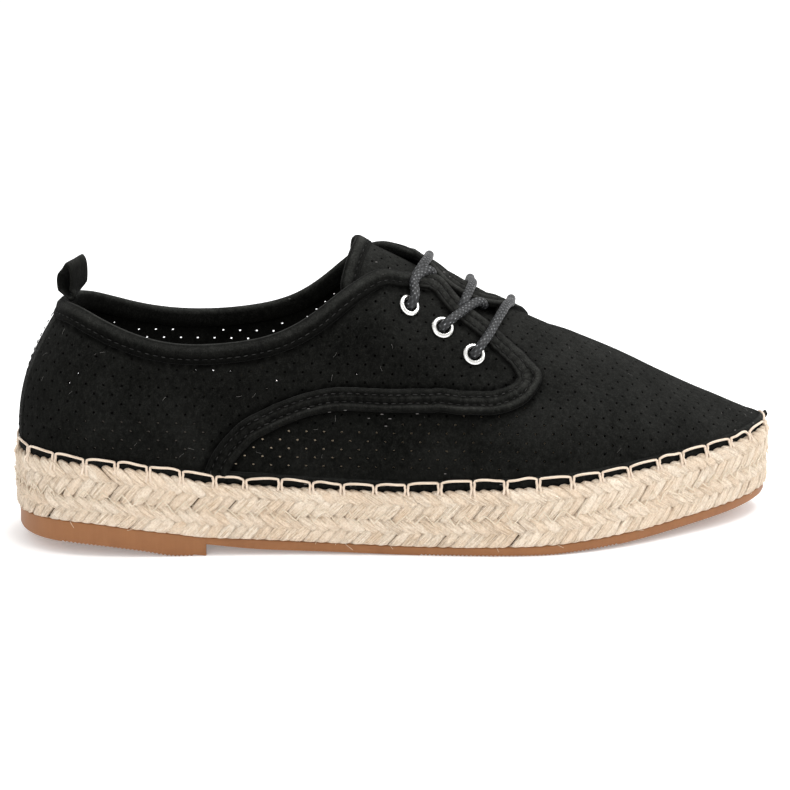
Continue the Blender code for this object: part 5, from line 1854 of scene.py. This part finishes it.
tongue_points = tongue_grid()
tongue_normals = np.cross(np.gradient(tongue_points, axis=1), np.gradient(tongue_points, axis=0))
tongue_normals /= np.linalg.norm(tongue_normals, axis=2)[:, :, None]
if tongue_normals[18, 10, 2] < 0:
    tongue_normals = -tongue_normals
print("tongue: a grid of %d by %d points" % tongue_points.shape[:2])


def on_tongue(a, b, height=0.0):
    """Points and normals of the tongue at column a and row b, both counted in grid steps."""
    a, b = np.broadcast_arrays(np.atleast_1d(np.asarray(a, float)), np.asarray(b, float))
    normal = unit(read_grid(tongue_normals, a, b))
    return read_grid(tongue_points, a, b) + normal * np.reshape(height, (-1, 1)), normal


# %% Tongue sheet and its tape
TONGUE_LAST_ROW = tongue_points.shape[1] - 1
TONGUE_CORNER = 5.0
TONGUE_MARGIN = 6.4


def tongue_edge():
    """Columns and rows of the free end, from one side round to the other."""
    c = TONGUE_COLUMNS
    turn = np.linspace(0.0, math.pi / 2, 8)
    right = np.column_stack((c - TONGUE_CORNER * (1 - np.cos(turn)),
                             TONGUE_LAST_ROW - TONGUE_CORNER * (1 - np.sin(turn))))
    left = right[::-1] * (-1.0, 1.0) + (c, 0.0)
    down = np.linspace(0.0, TONGUE_LAST_ROW - TONGUE_CORNER, 40)[:-1]
    up_side = np.column_stack((np.full(39, float(c)), down))
    down_side = np.column_stack((np.zeros(39), down[::-1]))
    middle = level(c - TONGUE_CORNER, TONGUE_CORNER, 30, float(TONGUE_LAST_ROW))[1:-1]
    return np.vstack((up_side, right, middle, left, down_side))


def tongue_sheet():
    pattern = Pattern("tongue", tongue_points, anchor=(0.5, 0.5))
    edge = tongue_edge()
    outline = pattern.lay(edge[:, 0], edge[:, 1])
    xy, faces, lip = punched_sheet(outline, lambda c: distance_to(c, outline) > TONGUE_MARGIN, 45.0)
    i, j = pattern.back(xy)
    outer = on_tongue(i, j, -LIP_DIP * lip)[0]
    inner = on_tongue(i, j, np.full(len(i), -TONGUE_THICK))[0]
    return thick_sheet("tongue_sheet", outer, inner, faces, xy)


tongue = tongue_sheet()
TONGUE_SECTION = np.array((
    (5.2, 0.1), (5.1, 0.45), (4.6, 0.7), (3.6, 0.62), (2.4, 0.95), (1.0, 0.95), (0.0, 0.5),
    (-0.45, -0.3), (-0.35, -1.3), (0.3, -2.0), (2.0, -2.15), (4.6, -2.0), (4.8, -1.4),
))
free_edge = tongue_edge()
free_edge = free_edge[free_edge[:, 1] > TONGUE_UNDER - 8.0]
tongue_tape = sweep("tongue_tape", on_tongue, free_edge, same_all_along(TONGUE_SECTION, free_edge))
line, normal = offset_line(on_tongue, free_edge, 3.7, 0.75)
tongue_stitches = mesh_piece("tongue_stitches", *stitch_row(line, normal))
note_upward(tongue, even=True)
finish_piece(tongue, suede, "tongue", slot="black_suede", smooth=50.0)
note_upward(tongue_tape)
finish_piece(tongue_tape, tape, "tongue", slot="black_suede", smooth=60.0)
finish_piece(tongue_stitches, thread, slot="black_suede", smooth=180.0)

# %% [markdown]
# ## Eyelets
#
# Six nickel eyelets. Each is stamped from sheet: a barrel through the facing, rolled over into a domed
# flange. One is turned by extruding a circle along its section, and is copied to its six seats, each
# tilted to the suede below it.

# %% One eyelet
EYELET_SEGMENTS = 40
EYELET_SECTION = (
    # radius, height above the suede
    (2.62, -2.0), (2.62, 0.20), (2.95, 0.38), (3.55, 0.34), (3.82, 0.36), (3.86, 0.52), (3.74, 0.80),
    (3.45, 1.05), (3.05, 1.19), (2.70, 1.22), (2.40, 1.12), (2.22, 0.90), (2.15, 0.55), (2.15, -2.0),
)


def model_eyelet():
    """The eyelet, made by extruding a circle from point to point of its section."""
    obj = start_from(bpy.ops.mesh.primitive_circle_add, "eyelet_model", vertices=EYELET_SEGMENTS, radius=1.0)
    radius, height = EYELET_SECTION[0]
    give(obj, take(obj) * (radius, radius, 1.0) + (0.0, 0.0, height))
    bpy.ops.object.mode_set(mode="EDIT")
    bpy.ops.mesh.select_mode(type="EDGE")
    bpy.ops.mesh.select_all(action="SELECT")
    bpy.ops.object.mode_set(mode="OBJECT")
    for radius, height in EYELET_SECTION[1:] + EYELET_SECTION[:1]:
        bpy.ops.object.mode_set(mode="EDIT")
        bpy.ops.mesh.extrude_region_move()
        bpy.ops.object.mode_set(mode="OBJECT")
        points = take(obj)
        for vertex in obj.data.vertices:
            if vertex.select:
                spoke = points[vertex.index, :2]
                points[vertex.index] = (*(spoke / np.linalg.norm(spoke) * radius), height)
        give(obj, points)
    return lift_off(face_outwards(obj, merge=1e-4))


eyelet_points, eyelet_faces = model_eyelet()
print("one eyelet:", len(eyelet_faces), "faces")

# %% Seats of the eyelets
EYELETS = (
    # lateral rib, down, medial rib, down
    (10.54, 24.9, 11.72, 15.0),
    (11.62, 32.8, 12.72, 16.5),
    (12.34, 37.5, 13.60, 17.0),
)
SEAT = 0.5
LACE_RADIUS = 1.6
LIP_HEIGHT = 1.2


def spot(rib, across):
    """Point and normal on the last, `across` millimetres from the ridge of a rib, lateral below 0."""
    q = np.array([float(rib if across < 0 else -rib)])
    v = v_at(q, rows_at(q)[:, -1] - abs(across))
    return last.points(q, v)[0], last.normals(q, v)[0]


def eyelet_spot(row, side):
    """Seat of an eyelet and its axis: just above the highest suede under its flange."""
    rib, down = EYELETS[row][:2] if side < 0 else EYELETS[row][2:]
    centre, axis = spot(rib, side * down)
    highest = 0.0
    for across in (-4.0, -2.0, 0.0, 2.0, 4.0):
        for ahead in (-0.32, -0.16, 0.0, 0.16, 0.32):
            near = spot(rib + ahead, side * (down + across))[0] - centre
            if np.linalg.norm(near) < 3.85 + 0.6:
                highest = max(highest, float(near @ axis))
    return centre + axis * (highest + SEAT), axis


nickel, w, shader = new_material("bright_nickel")
where = w.coords()
cloud = w.cloudy(260.0)
w.finish(shader, base_color=w.mix(cloud, (0.78, 0.77, 0.74), (0.90, 0.89, 0.86)),
         roughness=w.spread(w.noise(where, 900.0, 3.0), 0.3, 0.7, 0.16, 0.30), metallic=1.0,
         normal=w.bump(w.noise(where, 1500.0, 2.0), 0.08, 0.0002))
for row in range(3):
    for side, word in ((-1, "lateral"), (1, "medial")):
        centre, axis = eyelet_spot(row, side)
        turn = np.array(Vector(axis).to_track_quat("Z", "Y").to_matrix())
        seat = eyelet_points @ turn.T + centre
        eyelet = mesh_piece(f"nickel_eyelet_{word}_{row + 1}", seat, eyelet_faces)
        finish_piece(eyelet, nickel, f"eyelet_{word}_{row + 1}", slot="bright_nickel", smooth=50.0)

# %% [markdown]
# ## Lace
#
# A round waxed lace, 3.2 mm thick. At the front it lies straight across as a bar. Above that each end
# goes over the facing, down through its eyelet, and passes under the other end. The hidden ends stop
# behind the top eyelets. Its braid is modelled: two sets of strands that cross, raised and lowered
# along the tube.

# %% Runs of the lace
LACE_RUNS = (
    # name, first eyelet (row, side) or None, waypoints (rib, mm from the ridge, height), last eyelet
    ("bar", (2, -1), ((12.74, -27.2, 2.5), (12.91, -21.5, 2.3), (13.10, -14.6, 2.1), (13.28, -7.0, 1.8),
                      (13.43, -1.0, 1.4), (13.54, 6.0, 1.4)), (2, 1)),
    ("middle", (1, -1), ((12.19, -23.7, 2.5), (12.41, -19.3, 2.4), (12.61, -15.5, 2.1), (12.75, -13.6, 1.2),
                         (12.80, -13.1, 0.2)), None),
    ("middle", None, ((12.17, -22.4, -1.2), (12.21, -21.0, 0.4), (12.28, -18.9, 1.7), (12.39, -14.3, 1.7),
                      (12.50, -9.0, 1.6), (12.60, -1.0, 1.3), (12.66, 6.0, 1.3)), (1, 1)),
    ("top", (0, -1), ((10.77, -17.9, 2.7), (11.10, -16.7, 2.5), (11.24, -14.4, 2.4), (11.43, -12.2, 1.9),
                      (11.56, -11.1, 0.9), (11.60, -10.6, 0.2)), None),
    ("top", None, ((10.84, -18.2, -0.8), (10.89, -16.9, 0.7), (10.97, -15.2, 1.7), (11.15, -13.0, 1.7),
                   (11.33, -7.9, 1.6), (11.46, -1.0, 1.3), (11.60, 5.0, 1.3)), (0, 1)),
)


def even_path(points, spacing):
    """Smooth open curve through the points, read every `spacing` millimetres."""
    points = np.array(points, float)
    knots = length_along(points)
    chords = np.linalg.norm(np.diff(points, axis=0), axis=1)
    slope = np.gradient(points, knots, axis=0)
    where = np.linspace(0.0, knots[-1], max(2, int(round(knots[-1] / spacing))) + 1)
    i = np.clip(np.searchsorted(knots, where, side="right") - 1, 0, len(chords) - 1)
    h = chords[i][:, None]
    s = ((where - knots[i]) / chords[i])[:, None]
    return cubic(s, h, points[i], points[i + 1], slope[i], slope[i + 1])


def into_eyelet(row, side, toward):
    """Path from the bore of an eyelet, up and over its lip, in the direction of `toward`."""
    centre, axis = eyelet_spot(row, side)
    away = toward - centre
    away -= axis * (away @ axis)
    away /= np.linalg.norm(away)
    turn = LACE_RADIUS + 0.3
    over = LIP_HEIGHT + 0.3 + LACE_RADIUS
    path = [centre - axis * 3.2, centre - axis * 0.9, centre + axis * (over - turn)]
    for k in range(1, 6):
        a = math.pi / 2 * k / 5
        path.append(centre + axis * (over - turn + turn * math.sin(a)) + away * turn * (1 - math.cos(a)))
    path.append(centre + axis * over + away * (turn + 1.5))
    return path


BRAID_SIDES = 32
BRAID_STRANDS = 6
BRAID_PITCH = 2.0


def braided(path):
    """Round cord whose surface rises and falls as two crossing sets of strands."""
    points, faces, uv = tube(path, 1.0, BRAID_SIDES)
    centre = np.repeat(path, BRAID_SIDES, axis=0)
    angle, along = np.tile(np.arange(BRAID_SIDES) / BRAID_SIDES, len(path)) * 2 * math.pi, uv[:, 0]
    one = np.cos(BRAID_STRANDS * angle + along * 2 * math.pi / BRAID_PITCH)
    two = np.cos(BRAID_STRANDS * angle - along * 2 * math.pi / BRAID_PITCH)
    rise = np.maximum(one, two)
    lace_weave.append((one + two) / 2.0)
    radius = LACE_RADIUS * (0.95 + 0.045 * rise)
    return centre + (points - centre) * radius[:, None], faces, uv


lace_parts, lace_weave = {}, []
lace_length = 0.0
for name, first, waypoints, final in LACE_RUNS:
    run = []
    for rib, across, height in waypoints:
        point, normal = spot(rib, across)
        run.append(point + normal * height)
    start = into_eyelet(*first, run[0]) if first else []
    end = into_eyelet(*final, run[-1])[::-1] if final else []
    path = even_path(np.array(start + run + end), 0.27)
    lace_length += length_along(path)[-1]
    lace_parts.setdefault(name, []).append(braided(path))
print("lace that shows: %.0f mm" % lace_length)

# %% Waxed lace finish
wax, w, shader = new_material("waxed_lace")
grooves = w.group(fibres, vector=w.coords("UV"), fineness=22.0)
weave = w.value_of("weave")
tone = w.mix(grooves["Tone"], (0.003, 0.0033, 0.0036), (0.024, 0.026, 0.028))
# Painted shade in the low places between the braid's strands.
tone = w.mix(w.spread(weave, -0.5, 0.35, 0.9, 0.0), tone, (0.0025, 0.0026, 0.003))
# Painted glints: small pale highlights on some of the crests where the strands cross.
shine = w.spread(w.noise(w.coords(), 650.0, 2.0), 0.42, 0.62, 0.15, 1.0)
painted_glint = w.math("MULTIPLY", w.spread(weave, 0.55, 0.9, 0.0, 0.9), shine)
tone = w.mix(painted_glint, tone, (0.50, 0.51, 0.53))
w.finish(shader, base_color=tone, roughness=w.spread(weave, -0.5, 1.0, 0.65, 0.22),
         specular_ior_level=0.45, sheen_weight=0.02, normal=w.bump(grooves["Height"], 0.5, 0.0003))
for name, parts in lace_parts.items():
    weave = np.concatenate([lace_weave.pop(0) for _ in parts])
    lace = mesh_piece(f"round_lace_{name}", *joined(parts), weave=weave)
    finish_piece(lace, wax, f"lace_{name}", slot="waxed_lace", smooth=80.0)

# %% [markdown]
# ## Pull loop
#
# A strip of the same suede, folded into a loop and sewn in at the top of the back seam. It is drawn
# from the side as one closed line, and a flat strip with rounded edges follows it. The loop has taken
# a set: it is twisted a little, so its far edge stands further forward than its near one.

# %% Loop
LOOP = np.array((
    (-112.6, 82.5), (-114.3, 85.6), (-115.4, 90.2), (-114.7, 92.8), (-111.6, 95.0), (-108.2, 97.2),
    (-106.1, 95.8), (-105.0, 92.0), (-105.3, 88.0), (-106.8, 84.2), (-109.6, 82.5),
))
LOOP_RINGS = 120
LOOP_HALF = 4.7
LOOP_CENTRE = -110.4
LOOP_NARROW = 0.50
LOOP_TWIST = 0.58
LOOP_LOW = 0.92
LOOP_FOOT = 82.5


def pull_loop():
    knots, whole = around(LOOP)
    count = LOOP_RINGS
    outline = closed_spline(knots, LOOP, whole, np.arange(count) / count * whole)
    along = unit(np.roll(outline, -1, axis=0) - np.roll(outline, 1, axis=0))
    inward = np.column_stack((along[:, 1], -along[:, 0]))
    section = ((-LOOP_HALF + 0.35, 0.0), (-2.9, -0.06), (0.0, 0.04), (2.9, -0.06), (LOOP_HALF - 0.35, 0.0),
               (LOOP_HALF, 0.45), (LOOP_HALF, 1.15), (LOOP_HALF - 0.35, 1.6), (0.0, 1.56),
               (-LOOP_HALF + 0.35, 1.6), (-LOOP_HALF, 1.15), (-LOOP_HALF, 0.45))

    def turned(place, y):
        """The strip is narrow from the side and twisted, so its far edge stands further forward."""
        free = np.clip((place[:, 1] - LOOP_FOOT - 0.5) / 4.0, 0.0, 1.0)
        x = LOOP_CENTRE + (place[:, 0] - LOOP_CENTRE) * LOOP_NARROW + y * LOOP_TWIST * free
        z = LOOP_FOOT + (place[:, 1] - LOOP_FOOT) * LOOP_LOW + 0.12 * y * free
        return np.column_stack((x, np.full(count, y - MIDDLE_Y), z))

    grid = np.stack([turned(outline + inward * depth, y) for y, depth in section], axis=1)
    faces = ring_faces(count, len(section), closed=True)
    return face_outwards(mesh_piece("suede_loop", grid.reshape(-1, 3), faces))


loop = pull_loop()
note_upward(loop)
finish_piece(loop, tape, "pull_loop", slot="black_suede", smooth=60.0)

# %% [markdown]
# ## Toe knot
#
# The tape along the foot is joined at the very tip of the toe, where its ends are tucked into a small
# knot. It starts as a ball, is drawn out to stand upright, and is made lumpy by slow waves.

# %% Knot
KNOT_UP = 2.2
KNOT_OUT = 1.25
KNOT_SHIFT = (2.45, 0.0, -1.55)


def toe_knot():
    ball = start_from(bpy.ops.mesh.primitive_ico_sphere_add, "knot_start", subdivisions=4, radius=1.1)
    edit(ball, lambda: bpy.ops.transform.resize(value=(0.9, 1.0, 1.4)))
    points, faces = lift_off(ball)
    waves = np.sin(4.0 * points[:, 0] + 1.0) * np.sin(3.5 * points[:, 1] + 2.0) + np.sin(4.5 * points[:, 2])
    points *= 1.0 + 0.05 * waves[:, None]
    points[:, 0] -= 0.35 * np.clip(-points[:, 2], 0.0, 2.0)
    tip = np.full(1, TOE)
    spot, _ = lie(tip, v_at(tip, np.full(1, KNOT_UP)), KNOT_OUT)
    return mesh_piece("toe_knot", spot + KNOT_SHIFT + points, faces)


knot = toe_knot()
note_upward(knot)
finish_piece(knot, tape, "upper", slot="black_suede", smooth=180.0)

# %% [markdown]
# ## Blanket stitch
#
# A thick cream cord sews the suede foot to the jute by hand. Each stitch comes up out of the jute,
# loops over the cord and goes on to the next, so a level line of cord runs round the shoe, held by
# short double legs.

# %% Cord along the foot
CORD_RADIUS = 0.43
STITCH_STEP = 10.8
LEG_GAP = 0.52
# Height of the level cord above the foot of the suede, along the shoe.
BAR_HEIGHTS = np.array((
    (-133.0, 3.2), (-108.0, 2.6), (-82.0, 2.2), (-60.0, 1.2), (-45.0, 0.8), (-25.0, 0.9), (-5.0, 1.8),
    (20.0, 2.4), (40.0, 2.2), (60.0, 1.5), (90.0, 1.7), (110.0, 1.6), (122.0, 0.7), (132.0, 0.7),
)).T


def foot_place(arc, up, height):
    """A point by distance round the feather line, millimetres up the suede and out from it."""
    q = np.interp(np.mod(arc, last.feather.length), foot_arc, foot_q_fine)
    v = v_at(q, np.maximum(up, 0.0) + np.zeros_like(q))
    points, normal = lie(q, v, height)
    points[:, 2] += np.minimum(up, 0.0)
    return points


foot_q_fine = np.linspace(0.0, ROUND, 1681)
foot_arc = (closed_spline(last.knots, last.columns[:, 0], ROUND, foot_q_fine)
            + last.feather.length * foot_q_fine / ROUND)
foot_arc[-1] = last.feather.length


def jute_place(arc, depth, reach):
    """A point on the jute's rim, `depth` below its top edge and `reach` out from the feather line."""
    place = last.feather.at(arc)
    out = last.feather.outward(arc, 3.0)
    return np.column_stack((place + out * np.reshape(reach, (-1, 1)), platform_top(place[:, 0]) - depth))


def blanket_stitch():
    count = int(round(last.feather.length / STITCH_STEP))
    step = last.feather.length / count
    posts = (np.arange(count + 1) + 0.35) * step
    posts[:-1] += dice.normal(0.0, 0.45, count)
    posts[-1] = posts[0] + step * count
    lift = dice.normal(0.0, 0.2, count + 1)
    lift[-1] = lift[0]
    plunge = dice.uniform(0.9, 2.6, count + 1)
    plunge[-1] = plunge[0]
    lift += np.interp(last.feather.at(posts)[:, 0], *BAR_HEIGHTS)
    share = np.linspace(0.0, 1.0, 9)
    parts = []
    for k in range(count):
        start, end = posts[k] + LEG_GAP, posts[k + 1] - LEG_GAP
        bow = 0.25 * np.sin(np.pi * share) + 0.15 * dice.normal() * np.sin(2 * np.pi * share)
        corner = 0.35 * (np.exp(-(share / 0.08)**2) + np.exp(-((1 - share) / 0.08)**2))
        up = lift[k] * (1 - share) + lift[k + 1] * share + bow - corner
        bar = foot_place(start + (end - start) * share, up, 1.0 + CORD_RADIUS * 0.8)
        legs = []
        for post, way in ((k, -1.0), (k + 1, 1.0)):
            foot = (start, end)[post - k] + way * np.array((-0.08, 0.0, 0.12))
            over = np.array((0.6 * lift[post], 0.3 * lift[post], 0.0))
            knee = foot_place(foot, over, np.array((1.55, 1.6, 1.75)))
            depth = np.array((0.3, 0.3 + plunge[post] * 0.6, 0.3 + plunge[post]))
            across = posts[post] - way * np.array((0.5, 0.75, 0.6))
            sunk = jute_place(across, depth, np.array((2.2, 2.7, 1.5)))
            leg = np.vstack((knee, sunk))
            legs.append(leg if post > k else leg[::-1])
        path = even_path(np.vstack((legs[0], bar, legs[1])), 0.62)
        parts.append(tube(path, CORD_RADIUS, 10))
    return mesh_piece("blanket_stitch", *joined(parts))


cord_piece = blanket_stitch()
cotton, w, shader = new_material("cream_cord")
grooves = w.group(fibres, vector=w.coords("UV"), fineness=9.0)
tone = w.mix(grooves["Tone"], (0.58, 0.43, 0.31), (0.90, 0.77, 0.63))
w.finish(shader, base_color=tone, roughness=0.75, sheen_weight=0.15,
         normal=w.bump(grooves["Height"], 0.7, 0.0004))
finish_piece(cord_piece, cotton, slot="plaited_jute", smooth=80.0)

# %% [markdown]
# ### Lint
#
# Black suede catches lint. A few dozen pale hairs, a millimetre or two long, lie on the panels.

# %% Hairs on the suede
def lint_hairs(count):
    parts = []
    while len(parts) < count:
        side = -1.0 if dice.random() < 0.45 else 1.0
        q, s = side * dice.uniform(0.4, 20.0), dice.uniform(0.12, 0.97)
        if abs(q) > INSTEP_RIB and abs(q) < 13.4 and s > 0.5:
            continue
        turn, length, bend = dice.uniform(0, 2 * math.pi), dice.uniform(0.7, 2.4), dice.normal(0.0, 0.5)
        s_line = np.linspace(0.0, 1.0, 5)
        base, normal = lie(np.full(5, q), np.full(5, s), 0.62)
        dq = (lie([q + 0.05], [s])[0][0] - lie([q - 0.05], [s])[0][0])
        dq /= np.linalg.norm(dq)
        up = np.cross(normal[0], dq)
        heading = dq * math.cos(turn) + up * math.sin(turn)
        across = -dq * math.sin(turn) + up * math.cos(turn)
        path = (base + heading * (length * s_line)[:, None] + across * (bend * s_line**2)[:, None]
                + normal * (0.25 * np.sin(np.pi * s_line))[:, None])
        parts.append(tube(path, 0.034, 4))
    return joined(parts)


lint = mesh_piece("lint_hairs", *lint_hairs(60))
lint_grey, w, shader = new_material("lint")
w.finish(shader, base_color=w.mix(w.noise(w.coords(), 300.0), (0.05, 0.048, 0.045), (0.24, 0.23, 0.215)),
         roughness=0.8)
finish_piece(lint, lint_grey, slot="black_suede", smooth=180.0)
